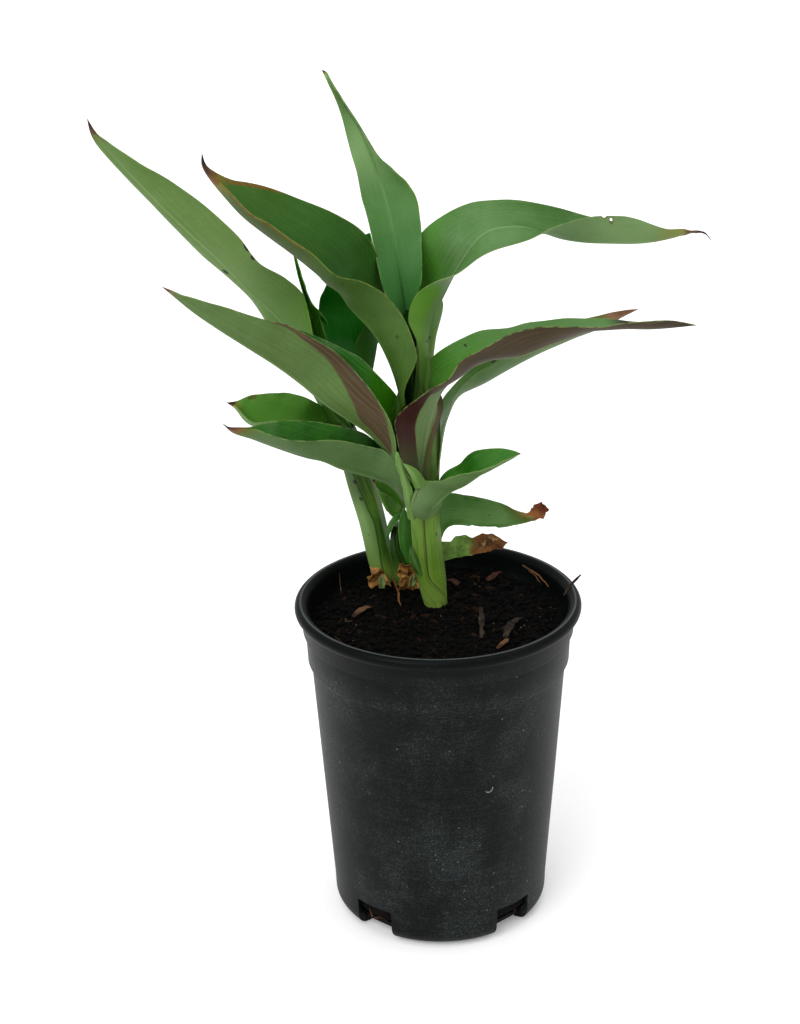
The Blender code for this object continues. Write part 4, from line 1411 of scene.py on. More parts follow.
@dataclass
class Leaf:
    """One leaf: two halves that bow between the midrib and the margins.

    bow is how far each half sinks below the straight line from midrib to margin, as a share of its
    width. crumple is how much the withered tip is crushed, in mm.
    """

    name: str
    finish: LeafFinish = LeafFinish()
    bow: tuple[float, float] = (0.09, 0.09)
    rib: float = 0.7
    ripple: float = 0.35
    ripples: float = 9.0
    uneven: float = 0.35
    thickness: float = 0.45
    crumple: float = 0.0
    seed: int = 1

    SLOT = "leaf_blade"
    HALF_COLUMNS = 12
    CROWDING = 1.15
    ROW = 1.5
    FEWEST_ROWS = 24
    LUMPS = 0.05
    CREASES = 0.32

    def outline(self) -> Outline:
        """The lines that the leaf hangs on."""
        return OUTLINES[self.name]

    def nodes(self) -> tuple[str, ...]:
        """The plain solids that the leaf takes the place of."""
        return (self.name,)

    def rows(self) -> int:
        """How many rows of points the leaf has, by its length."""
        length = length_along(np.array(self.outline().midrib))[-1]
        return max(int(length / self.ROW), self.FEWEST_ROWS)

    def surface(self) -> tuple[np.ndarray, np.ndarray, np.ndarray]:
        """The leaf's middle surface.

        Returns:
            The points, each one's signed distance from the midrib, and the distance of each row from
            the foot.
        """
        outline = self.outline()
        count = self.rows()
        share = np.linspace(0.0, 1.0, count)
        midrib = smooth_curve(outline.midrib, count)
        along = unit(np.gradient(midrib, axis=0))
        out = (np.arange(1, self.HALF_COLUMNS + 1) / self.HALF_COLUMNS) ** self.CROWDING
        halves, reaches, normals = [], [], []
        for side, margin, bow in zip((-1.0, 1.0), (outline.left, outline.right), self.bow):
            span = smooth_curve(margin, count) - midrib
            width = np.linalg.norm(span, axis=1)
            upper = unit(side * np.cross(span, along) + HAIR)
            sag = 4.0 * out * (1.0 - out) * bow
            place = midrib[:, None, :] + span[:, None, :] * out[None, :, None]
            place = place - upper[:, None, :] * (width[:, None] * sag[None, :])[..., None]
            halves.append(place)
            reaches.append(side * width[:, None] * out[None, :])
            normals.append(upper)
        middle = midrib - unit(normals[0] + normals[1]) * (self.rib * (1.0 - share) ** 0.7)[:, None]
        points = np.concatenate([halves[0][:, ::-1], middle[:, None, :], halves[1]], axis=1)
        reach = np.concatenate([reaches[0][:, ::-1], np.zeros((count, 1)), reaches[1]], axis=1)
        return self.shaped(points, reach, share), reach, length_along(midrib)

    def shaped(self, points: np.ndarray, reach: np.ndarray, share: np.ndarray) -> np.ndarray:
        """The surface made uneven, with gently waving margins.

        Args:
            points: The plain surface.
            reach: Each point's signed distance from the midrib.
            share: Each row's share of the length.

        Returns:
            The living surface.
        """
        across = reach / (np.abs(reach).max(axis=1, keepdims=True) + TINY)
        normal = unit(np.cross(np.gradient(points, axis=1), np.gradient(points, axis=0)) + HAIR)
        phase = self.seed * 1.7
        turn = share * self.ripples * math.pi
        swing = np.sin(turn + phase) + 0.6 * np.sin(2.3 * turn + 2.0 * phase)
        fade = ease(share, 0.05, 0.3) * (1.0 - ease(share, 0.85, 1.0))
        amount = self.ripple * (swing * fade)[:, None] * across**4 * np.sign(across + 0.3)
        for i, j in np.ndindex(points.shape[:2]):
            spot = Vector(points[i, j]) * self.LUMPS + Vector((phase, 0.0, 0.0))
            amount[i, j] += self.uneven * fade[i] * noise.noise(spot)
        points = points + normal * amount[..., None]
        if self.crumple > 0.0:
            dry = ease(share, self.finish.tip_start - 0.04, (self.finish.tip_start + 1.0) / 2) * self.crumple
            for i, j in np.ndindex(points.shape[:2]):
                if dry[i] > 0.0:
                    spot = Vector(points[i, j]) * self.CREASES + Vector((0.0, phase, 0.0))
                    points[i, j] += shaken(spot) * dry[i]
        return points

    def build(self) -> bpy.types.Object:
        """Models the leaf and dresses it.

        Returns:
            The leaf.
        """
        points, reach, run = self.surface()
        piece, row, column = Bench.sheet(f"{self.name}_blade", points)
        widest = np.where(reach < 0.0, np.abs(reach[:, :1]), np.abs(reach[:, -1:])) + TINY
        across = reach / widest
        Bench.map_layer(piece, "share", across[row, column] * 0.5 + 0.5, row / (len(points) - 1))
        Bench.map_layer(piece, "size", 0.5 + reach[row, column] / WIDE_SPAN, run[row] / LONG_SPAN)
        for face in Face:
            piece.data.materials.append(self.finish.material(self.name, face))
        under = {"material_offset": 1, "material_offset_rim": 1}
        Bench.modify(piece, "SOLIDIFY", thickness=self.thickness * MM, offset=0.0, use_quality_normals=True, **under)
        Bench.smooth(piece, 60.0)
        return settle(piece, self.SLOT, *self.nodes())


DARK = LeafFinish(
    upper=(32, 118, 8), upper_deep=(14, 94, 2), under=(70, 112, 46), under_deep=(48, 88, 28),
    vein=(58, 124, 30), foot=(48, 100, 20), tip_start=1.0,
)
PURPLE = (88, 74, 52)
MAROON = (62, 32, 16)


LEAF_FINISHES = {
    "leaf_top": LeafFinish(
        upper=(90, 134, 74), upper_deep=(74, 118, 58), vein=(112, 150, 90), foot=(62, 114, 58), foot_end=0.3,
        foot_soft=0.22, tip_start=0.985, margin=(140, 164, 84),
        bands=(
            # Partly the blade's paler tissue and partly painted light: the folded tip half is lightened where it lies
            # in shade.
            Band(
                (146, 182, 122), Half.BOTH, ((0.6, 0.0), (1.0, 0.0)), fade=0.18, amount=0.9, streaky=False,
                faces=TOP_ONLY,
            ),
            Band(
                (110, 150, 50), Half.RIGHT, ((0.36, 0.93), (0.48, 0.92), (0.6, 0.94)), amount=0.6, faces=TOP_ONLY,
            ),
        ),
    ),
    "leaf_upper_left": LeafFinish(
        upper=(58, 98, 33), upper_deep=(46, 90, 20), under=(72, 102, 46), under_deep=(56, 82, 30),
        vein=(82, 118, 54), margin=(122, 134, 64), foot=(70, 100, 44), tip_start=0.915, withered=(112, 76, 30),
        yellowed=(112, 108, 44),
        marks=(
            Mark(-0.7, 0.475, 0.05, 0.004), Mark(-0.65, 0.242, 0.05, 0.005, (58, 62, 30)),
            Mark(0.17, 0.446, 0.03, 0.003), Mark(-0.8, 0.833, 0.05, 0.006, (92, 62, 30)),
            Mark(-0.92, 0.79, 0.05, 0.012, (96, 70, 34)), Mark(-0.9, 0.74, 0.06, 0.01, (92, 70, 34)),
            Mark(-0.94, 0.69, 0.05, 0.012, (92, 74, 34)),
        ),
        bands=(
            Band((66, 78, 34), Half.LEFT, ((0.58, 0.0), (0.9, 0.0)), fade=0.14, amount=0.6, streaky=False),
            Band(
                (126, 88, 34), Half.RIGHT, ((0.74, 0.97), (0.8, 0.9), (0.9, 0.72), (1.0, 0.0)), amount=0.85,
                faces=BOTH_FACES,
            ),
            Band(
                (112, 96, 44), Half.LEFT, ((0.62, 0.93), (0.84, 0.82), (1.0, 0.5)), amount=0.7, faces=BOTH_FACES,
            ),
        ),
    ),
    "leaf_upper_right": LeafFinish(
        upper=(88, 128, 72), upper_deep=(70, 112, 50), under=(110, 138, 86), under_deep=(96, 126, 76),
        # The foot colour is partly the petiole's paler green and partly painted light, lightened where the lobes
        # above shade the petiole.
        vein=(124, 152, 106), foot=(112, 152, 70), foot_end=0.2, foot_soft=0.1, tip_start=0.918,
        marks=(Mark(0.3, 0.15, 0.1, 0.004), Mark(0.02, 0.158, 0.1, 0.004)), withered=(96, 70, 40),
        yellowed=(128, 132, 66),
        bands=(
            Band(
                (92, 148, 26), Half.RIGHT, ((0.1, 0.6), (0.2, 0.35), (0.26, 0.3), (0.31, 0.7)), soft=0.25,
                fade=0.04, amount=0.75, streaky=False,
            ),
            # Painted light: a brighter strip on the upper face of the left half, where the lobe above shades it.
            Band(
                (74, 134, 38), Half.LEFT, ((0.2, 0.0), (0.34, 0.4), (0.44, 0.85)), soft=0.3, fade=0.14,
                amount=0.75, streaky=False, faces=TOP_ONLY,
            ),
            Band(
                (40, 30, 30), Half.RIGHT, ((0.0, 0.8), (0.08, 0.72), (0.15, 0.86)), amount=0.85, faces=BOTH_FACES,
            ),
        ),
        holes=(Mark(0.84, 0.754, 0.09, 0.0045, (92, 70, 40)), Mark(1.02, 0.736, 0.08, 0.007, (104, 84, 52))),
    ),
    "leaf_left": LeafFinish(
        upper=(44, 108, 8), upper_deep=(30, 92, 2), under=(86, 114, 60), under_deep=(78, 100, 50),
        vein=(116, 142, 92), foot=(108, 142, 72), foot_end=0.09, foot_soft=0.06, tip_start=0.972,
        withered=(112, 70, 58), yellowed=(112, 112, 70),
        bands=(
            # Painted light: a brighter green strip on the upper face of the right half, where it is turned from the
            # light.
            Band(
                (80, 164, 22), Half.RIGHT, ((0.14, 0.0), (0.38, 0.0)), fade=0.08, amount=0.7, streaky=False,
                faces=TOP_ONLY,
            ),
            Band(
                PURPLE, Half.LEFT,
                ((0.18, 0.4), (0.22, 0.23), (0.3, 0.22), (0.375, 0.47), (0.45, 0.66), (0.57, 0.85), (0.72, 0.98)),
                ((0.18, 0.5), (0.21, 0.75), (0.25, 0.84), (0.3, 0.95), (0.4, 1.0), (0.72, 1.0)), 0.03,
            ),
        ),
    ),
    "leaf_right": LeafFinish(
        upper=(86, 140, 60), upper_deep=(70, 128, 42), under=(100, 126, 78), under_deep=(88, 112, 64),
        marks=(Mark(-0.8, 0.429, 0.06, 0.003),), vein=(136, 150, 104), foot=(92, 116, 68), foot_end=0.06,
        tip_start=1.0,
        bands=(
            Band(
                (90, 122, 76), Half.LEFT, ((0.5, 0.0), (0.86, 0.0)), fade=0.14, amount=0.7, streaky=False,
                faces=TOP_ONLY,
            ),
            Band((46, 32, 28), Half.BOTH, ((0.8, 0.0), (1.0, 0.0)), fade=0.03, faces=BOTH_FACES),
            Band((78, 66, 48), Half.RIGHT, ((0.3, 0.86), (0.335, 0.3), (0.36, 0.1), (1.0, 0.0)), soft=0.05),
            Band(
                MAROON, Half.RIGHT,
                ((0.0, 0.25), (0.067, 0.3), (0.113, 0.38), (0.163, 0.42), (0.237, 0.53), (0.32, 0.8)), soft=0.03,
                fade=0.01,
            ),
            Band((92, 76, 50), Half.LEFT, ((0.0, 0.12), (0.1, 0.2), (0.21, 0.3), (0.26, 0.5)), soft=0.05),
        ),
    ),
    "leaf_right_back": LeafFinish(
        upper=(78, 126, 44), upper_deep=(60, 106, 30), under=(94, 122, 72), under_deep=(60, 96, 44),
        foot=(112, 156, 68), tip_start=0.88, withered=(138, 106, 76), scorched=(116, 82, 60),
        yellowed=(112, 108, 56), marks=(Mark(-0.65, 0.475, 0.22, 0.008), Mark(-0.4, 0.47, 0.12, 0.004)),
    ),
    "leaf_low_left": LeafFinish(
        upper=(54, 116, 32), upper_deep=(12, 68, 6), under=(84, 110, 66), under_deep=(68, 94, 50),
        vein=(100, 126, 80), foot=(66, 94, 50), tip_start=0.915, withered=(124, 88, 56), yellowed=(94, 104, 44),
    ),
    "leaf_low_right": LeafFinish(
        upper=(70, 134, 50), upper_deep=(46, 112, 26), under=(108, 138, 88), under_deep=(94, 124, 72),
        marks=(Mark(0.91, 0.16, 0.02, 0.06, (92, 78, 62), 0.7),), foot=(92, 118, 68), foot_end=0.05,
        tip_start=0.985,
    ),
    "leaf_curled": LeafFinish(
        upper=(60, 104, 40), under=(98, 136, 74), under_deep=(72, 114, 52), vein=(108, 144, 86),
        marks=(
            Mark(0.62, 0.42, 0.02, 0.004), Mark(0.42, 0.53, 0.025, 0.005), Mark(0.5, 0.3, 0.02, 0.004),
            Mark(0.35, 0.66, 0.02, 0.004),
        ),
        foot=(80, 126, 44), tip_start=0.8, withered=(140, 90, 46), scorched=(100, 54, 30),
        yellowed=(112, 116, 62),
    ),
    "leaf_high_left": LeafFinish(
        upper=(84, 124, 54), upper_deep=(66, 108, 34), under=(102, 132, 70), under_deep=(90, 122, 58),
        marks=(
            Mark(0.28, 0.5605, 0.12, 0.0075, (22, 22, 16), 1.0), Mark(-1.0, 0.59, 0.06, 0.009),
            Mark(-0.98, 0.567, 0.06, 0.006),
        ),
        vein=(128, 154, 100), foot=(66, 112, 38), foot_end=0.38, foot_soft=0.24, tip_start=0.962,
        withered=(84, 62, 44), yellowed=(98, 108, 58),
        bands=(
            Band((84, 128, 10), Half.LEFT, ((0.28, 0.8), (0.36, 0.86), (0.44, 0.95)), amount=0.8, streaky=False),
        ),
    ),
    "leaf_back_left": LeafFinish(
        upper=(106, 166, 66), upper_deep=(84, 148, 46), under=(104, 136, 78), vein=(110, 160, 76),
        foot=(132, 172, 72), tip_start=0.945, withered=(84, 58, 40), yellowed=(136, 136, 62),
        marks=(Mark(0.35, 0.91, 0.3, 0.035, (128, 138, 60), 0.6), Mark(0.9, 0.84, 0.1, 0.03, (110, 84, 44), 0.7)),
    ),
    "leaf_back_upright": DARK,
    "leaf_rolled": LeafFinish(
        upper=(96, 160, 54), upper_deep=(70, 136, 34), under=(96, 156, 58), under_deep=(70, 132, 40),
        vein=(120, 180, 80), foot=(90, 150, 50),
    ),
    "leaf_shoot": LeafFinish(
        upper=(82, 140, 28), upper_deep=(60, 116, 14), under=(84, 128, 52), under_deep=(62, 108, 34),
        margin=(132, 160, 84), foot=(70, 116, 36),
    ),
    "leaf_shoot_folded": DARK,
    "leaf_bract": DARK,
}


def all_leaves() -> list[Leaf]:
    """Every leaf of the plant, the highest first."""
    own = {
        "leaf_top": {"bow": (0.06, 0.08)},
        "leaf_upper_right": {"crumple": 0.6},
        "leaf_curled": {"uneven": 0.8, "crumple": 2.4},
        "leaf_rolled": {"rib": 0.3},
        "leaf_shoot": {"rib": 0.4},
        "leaf_shoot_folded": {"rib": 0.3, "thickness": 0.35},
        "leaf_bract": {"rib": 0.3, "thickness": 0.35},
    }
    return [
        Leaf(name, finish, seed=seed, **own.get(name, {}))
        for seed, (name, finish) in enumerate(LEAF_FINISHES.items(), start=1)
    ]


@dataclass
class Sheath(Leaf):
    """A leaf's foot or a torn sheath that wraps the stem, over the plain solids beneath."""

    bow: tuple[float, float] = (0.12, 0.12)
    rib: float = 0.0
    ripple: float = 0.15
    uneven: float = 0.2

    SLOT = "stem_green"
    HALF_COLUMNS = 6

    def nodes(self) -> tuple[str, ...]:
        """A sheath takes no solid's place."""
        return ()


def all_sheaths() -> list[Sheath]:
    """The leaf feet that wrap the stems."""
    light = LeafFinish(
        under=(102, 140, 70), under_deep=(84, 124, 50), upper=(60, 96, 40), vein=(132, 160, 96),
        margin=(132, 164, 96), foot_end=-1.0, tip_start=1.0,
    )
    olive = LeafFinish(
        under=(58, 92, 34), under_deep=(40, 72, 20), upper=(40, 70, 20), vein=(84, 116, 54),
        margin=(90, 124, 60), foot_end=-1.0, tip_start=1.0,
    )
    # Painted shade: near-black greens for petiole_top, the sheath deep in the shade under the top leaf's foot.
    dark = LeafFinish(
        under=(36, 66, 16), under_deep=(20, 42, 8), upper=(24, 50, 8), vein=(50, 84, 26), margin=(60, 92, 34),
        foot_end=-1.0, tip_start=1.0,
    )
    pale = LeafFinish(
        under=(128, 150, 92), under_deep=(96, 118, 62), upper=(140, 160, 104), upper_deep=(110, 130, 76),
        vein=(160, 176, 124), margin=(150, 130, 84), foot_end=-1.0, tip_start=1.0,
    )
    tones = {
        "petiole_left": light,
        "petiole_flap": light,
        "petiole_top": dark,
        "petiole_inner": olive,
        "petiole_scrap": olive,
        "stem_scrap": olive,
        "scale_green": pale,
        "scale_pale": pale,
    }
    return [Sheath(name, tone, seed=seed) for seed, (name, tone) in enumerate(tones.items(), start=31)]


# ---------------------------------------------------------------- stems


@dataclass
class Stem:
    """A stem of rolled sheaths: a tapering tube with the overlapped edge of its outer sheath.

    centres holds each (x, y, z, radius), foot first. edge holds the bearing of the outer sheath's free
    edge at even steps up the stem, in degrees from the right by way of the front.
    """

    name: str
    centres: tuple[tuple[float, float, float, float], ...]
    finish: StemFinish = StemFinish()
    edge: tuple[float, ...] = (60.0, 120.0)
    edge_step: float = 0.7
    flutes: float = 0.25

    ROWS = 90
    SIDES = 72
    LAP_TURNS = (0.0, 0.025, 0.05)
    FLUTES_ROUND = 7.0

    def turns(self) -> np.ndarray:
        """The turn of each column from the sheath's free edge, close together beside it."""
        return np.concatenate([self.LAP_TURNS, np.linspace(0.12, math.tau, self.SIDES)])

    def surface(self) -> np.ndarray:
        """The tube's points, rows up the stem by columns round it, the last column over the first."""
        line = smooth_curve(self.centres, self.ROWS)
        centres, radius = line[:, :3], line[:, 3]
        heading = unit(np.gradient(centres, axis=0))
        heading[0] = (0.0, 0.0, 1.0)
        side = unit(np.cross(heading, (0.0, 1.0, 0.0)))
        front = np.cross(side, heading)
        past = self.turns()
        share = np.linspace(0.0, 1.0, self.ROWS)
        turns = np.radians(at_stations(self.edge, share))[:, None] + past[None, :]
        lap = self.edge_step * ((1.0 - past / math.tau) ** 2 * ease(past, 0.0, self.LAP_TURNS[-1]))[None, :]
        flute = self.flutes * np.cos(self.FLUTES_ROUND * turns) * ease(share, 0.0, 0.3)[:, None]
        reach = radius[:, None] + lap + flute
        across = np.cos(turns)[..., None] * -side[:, None, :]
        away = np.sin(turns)[..., None] * -front[:, None, :]
        return centres[:, None, :] + reach[..., None] * (across + away)

    def build(self) -> bpy.types.Object:
        """Models the stem and dresses it.

        Returns:
            The stem.
        """
        points = self.surface()
        piece, row, column = Bench.sheet(f"{self.name}_sheath", points)
        rise = points[:, 0, 2] - points[0, 0, 2]
        past = self.turns()[column] / math.tau
        Bench.map_layer(piece, "size", past * 0.5, rise[row] / LONG_SPAN)
        Bench.map_layer(piece, "edge", past, row / (self.ROWS - 1))
        ends = ((bpy.ops.mesh.select_non_manifold, {}), (bpy.ops.mesh.fill_holes, {"sides": 0}))
        Bench.edit(piece, Bench.MERGE, Bench.NONE, *ends, Bench.ALL, Bench.OUTWARD)
        piece.data.materials.append(self.finish.material(self.name))
        Bench.smooth(piece, 60.0)
        return settle(piece, "stem_green", self.name)


def all_stems() -> list[Stem]:
    """Both leafy stems and the small side shoot."""
    return [
        Stem(
            "stem_front",
            (
                (-0.7, 19, 183.0, 6.6), (-2.6, 19, 197, 8.0), (-4.6, 19, 212, 8.5), (-6.4, 19.5, 233, 8.2),
                (-6.8, 20, 255, 8.2), (-6.2, 20.5, 280, 8.6), (-5.8, 21, 305, 7.6), (-7.0, 22.5, 328, 6.0),
                (-9.5, 24, 344, 4.6),
            ),
            StemFinish(
                creases=(
                    ((0.0, 0.03), (0.14, 0.022), (0.34, 0.016), (1.0, 0.012)),
                    ((0.0, 0.2), (0.14, 0.17), (0.25, 0.1), (0.36, 0.2), (1.0, 0.25)),
                ),
                marks=(Mark(0.86, 0.29, 0.012, 0.008),),
            ),
            edge=(15, 98, 94, 92, 90, 90, 90, 90), edge_step=0.55,
        ),
        Stem(
            "stem_back",
            (
                (-30, 54, 183.0, 7.4), (-34, 54, 203, 7.6), (-37.5, 55, 222, 7.8), (-43.6, 56, 247, 8.2),
                (-48.4, 56, 266, 7.4), (-53.8, 57, 284, 5.6),
            ),
            StemFinish(
                base=(96, 136, 40), deep=(50, 90, 12), pale=(112, 150, 60), top=(26, 54, 4),
                # Here the groove colour is painted shade along the sheath's overlapped edge.
                wrap=(118, 152, 86), groove=(52, 80, 28),
                marks=(
                    Mark(0.02, 0.66, 0.03, 0.014, (20, 22, 12)), Mark(0.03, 0.55, 0.018, 0.014, (34, 44, 24)),
                ),
            ),
            edge=(84, 86, 80, 78, 90, 100, 108, 122, 150), edge_step=0.35,
        ),
        Stem(
            "shoot_small",
            ((-19.5, 46, 183.0, 5.2), (-21.0, 45, 200, 4.8), (-22.3, 44, 213, 4.4), (-21.6, 43, 224, 3.4)),
            StemFinish(
                base=(50, 84, 20), deep=(26, 56, 8), pale=(80, 110, 44), top=(40, 76, 16), foot=(96, 126, 60),
            ),
        ),
    ]


# ---------------------------------------------------------------- withered pieces


@dataclass
class WitheredLeaf(Leaf):
    """A dry, crumpled remnant of a leaf."""

    dry: DryFinish = DryFinish()
    crumple: float = 1.2
    grit: float = 0.22

    ROW = 0.8

    def shaped(self, points: np.ndarray, reach: np.ndarray, share: np.ndarray) -> np.ndarray:
        """The surface crumpled all over, more towards its end."""
        crushed = points.copy()
        for i, j in np.ndindex(points.shape[:2]):
            spot = Vector(points[i, j]) * self.grit + Vector((self.seed * 9.1, 0.0, 0.0))
            amount = self.crumple * (0.25 + 0.75 * share[i])
            crushed[i, j] += shaken(spot) * amount
        return crushed

    def build(self) -> bpy.types.Object:
        """Models the remnant and dresses it.

        Returns:
            The remnant.
        """
        points = self.surface()[0]
        rows, columns = points.shape[:2]
        piece, row, column = Bench.sheet(f"{self.name}_dry", points)
        Bench.map_layer(piece, "share", column / (columns - 1), row / (rows - 1))
        piece.data.materials.append(self.dry.material(self.name))
        Bench.modify(piece, "SOLIDIFY", thickness=self.thickness * MM, offset=0.0)
        Bench.smooth(piece, 40.0)
        return settle(piece, "withered", *self.nodes())


def all_withered() -> list[WitheredLeaf]:
    """The cut stub of an old leaf and the dry scales at the stems' feet."""
    return [
        WitheredLeaf(
            "leaf_stub", seed=21, crumple=1.8, rib=0.2,
            dry=DryFinish(green=(120, 156, 74), green_end=0.5, base=(126, 84, 48), deep=(60, 38, 28)),
        ),
        WitheredLeaf("dried_scale_left", seed=22, crumple=3.6, rib=0.0, grit=0.34),
        WitheredLeaf("dried_scale_middle", seed=23, crumple=3.6, rib=0.0, grit=0.34),
    ]


# ---------------------------------------------------------------- pot


@dataclass
class Pot:
    """Round nursery pot: beaded rim, skirt, collar, straight body and four drain notches."""

    rim_radius: float = 82.4
    rim_bead: float = 3.4
    height: float = 196.5
    skirt_radius: float = 78.0
    skirt_foot: float = 178.7
    collar_radius: float = 75.6
    collar_foot: float = 160.1
    body_top: float = 73.7
    body_bottom: float = 63.6
    body_foot: float = 18.0
    base_radius: float = 54.5
    wall: float = 1.8
    lift: float = 6.0
    notches: tuple[float, ...] = (-129.5, -48.5, 50.5, 131.5)
    notch_width: float = 25.0
    notch_high: float = 20.5
    notch_inner: float = 56.5
    ring_inner: float = 44.0
    finish: PlasticFinish = PlasticFinish()

    SIDES = 160
    BOX_OUTER = 76.0
    BOX_BELOW = 2.0

    def outer(self, height: float) -> float:
        """Outer radius of the straight body at a height."""
        share = (height - self.body_foot) / (self.collar_foot - self.body_foot)
        return self.body_bottom + share * (self.body_top - self.body_bottom)

    def inner(self, height: float) -> float:
        """Inner radius at a height."""
        return self.outer(height) - self.wall

    @staticmethod
    def arc(x: float, z: float, radius: float, start: float, end: float, count: int) -> list[tuple[float, float]]:
        """Points on an arc of the profile, angles in degrees."""
        turns = np.radians(np.linspace(start, end, count))
        return [(x + radius * math.cos(a), z + radius * math.sin(a)) for a in turns]

    def profile(self) -> list[tuple[float, float]]:
        """The pot's closed half-section, from the underside's centre to the floor's centre."""
        foot = self.body_foot
        corner = self.arc(self.outer(foot) - 9.2, 9.6, 8.9, -78.0, 4.0, 8)
        bead_x, bead_z = self.rim_radius - self.rim_bead, self.height - self.rim_bead
        return [
            (0.0, self.lift),
            (self.base_radius - 4.5, self.lift),
            (self.base_radius - 3.2, self.lift - 1.2),
            (self.base_radius - 2.8, 0.6),
            (self.base_radius - 2.2, 0.0),
            (self.base_radius - 0.5, 0.0),
            (self.base_radius, 0.5),
            *corner,
            (self.outer(foot), foot),
            (self.outer(90.0), 90.0),
            (self.body_top - 0.2, self.collar_foot - 1.6),
            (self.body_top + 0.1, self.collar_foot - 0.3),
            (self.collar_radius - 0.4, self.collar_foot + 0.3),
            (self.collar_radius, self.collar_foot + 1.2),
            (self.collar_radius + 0.7, self.skirt_foot - 1.4),
            (self.collar_radius + 0.9, self.skirt_foot - 0.3),
            (self.skirt_radius - 0.3, self.skirt_foot + 0.2),
            (self.skirt_radius, self.skirt_foot + 1.0),
            (self.skirt_radius + 0.8, self.height - 2 * self.rim_bead - 1.2),
            *self.arc(bead_x, bead_z, self.rim_bead, -82.0, 142.0, 16),
            (self.inner(self.height) + 0.8, self.height - 2.4),
            (self.inner(self.height) + 0.1, self.height - 4.0),
            (self.inner(foot), foot),
            (self.inner(foot) - 0.7, 12.5),
            (self.base_radius + 3.0, self.lift + self.wall + 0.8),
            (self.base_radius + 0.4, self.lift + self.wall),
            (0.0, self.lift + self.wall),
        ]

    def cut(self, pot: bpy.types.Object, bearing: float, inner: float, high: float) -> None:
        """Cuts a box out of the pot's lower corner.

        Args:
            pot: The pot.
            bearing: The direction of the box, in degrees.
            inner: How far out it starts.
            high: How high it reaches.
        """
        Bench.deselect()
        turn = math.radians(bearing)
        reach = (inner + self.BOX_OUTER) / 2
        middle = Vector((reach * math.cos(turn), reach * math.sin(turn), (high - self.BOX_BELOW) / 2)) * MM
        bpy.ops.mesh.primitive_cube_add(size=1.0, location=middle, rotation=(0.0, 0.0, turn))
        cutter = bpy.context.active_object
        cutter.scale = Vector((self.BOX_OUTER - inner, self.notch_width, high + self.BOX_BELOW)) * MM
        bpy.ops.object.transform_apply(location=True, rotation=True, scale=True)
        Bench.modify(pot, "BOOLEAN", operation="DIFFERENCE", solver="MANIFOLD", object=cutter)
        bpy.data.objects.remove(cutter, do_unlink=True)

    def cut_notches(self, pot: bpy.types.Object) -> None:
        """Cuts each drain notch: up the wall, and in through the foot ring under the floor."""
        for bearing in self.notches:
            self.cut(pot, bearing, self.notch_inner, self.notch_high)
            self.cut(pot, bearing, self.ring_inner, self.lift - 0.1)

    def build(self) -> bpy.types.Object:
        """Models the pot and dresses it.

        Returns:
            The pot.
        """
        pot = Bench.spin("nursery_pot", self.profile(), self.SIDES)
        self.cut_notches(pot)
        pot.data.materials.clear()
        pot.data.materials.append(self.finish.material("pot_plastic"))
        Bench.smooth(pot, 35.0)
        return settle(pot, "pot_plastic", "pot")


# ---------------------------------------------------------------- soil


@dataclass(frozen=True)
class Litter:
    """One kind of small lump on the soil.

    size holds its least and greatest radius, and shape how long it is along its three axes.
    """

    name: str
    count: int
    size: tuple[float, float]
    shape: Point
    finish: EarthFinish
    seed: int


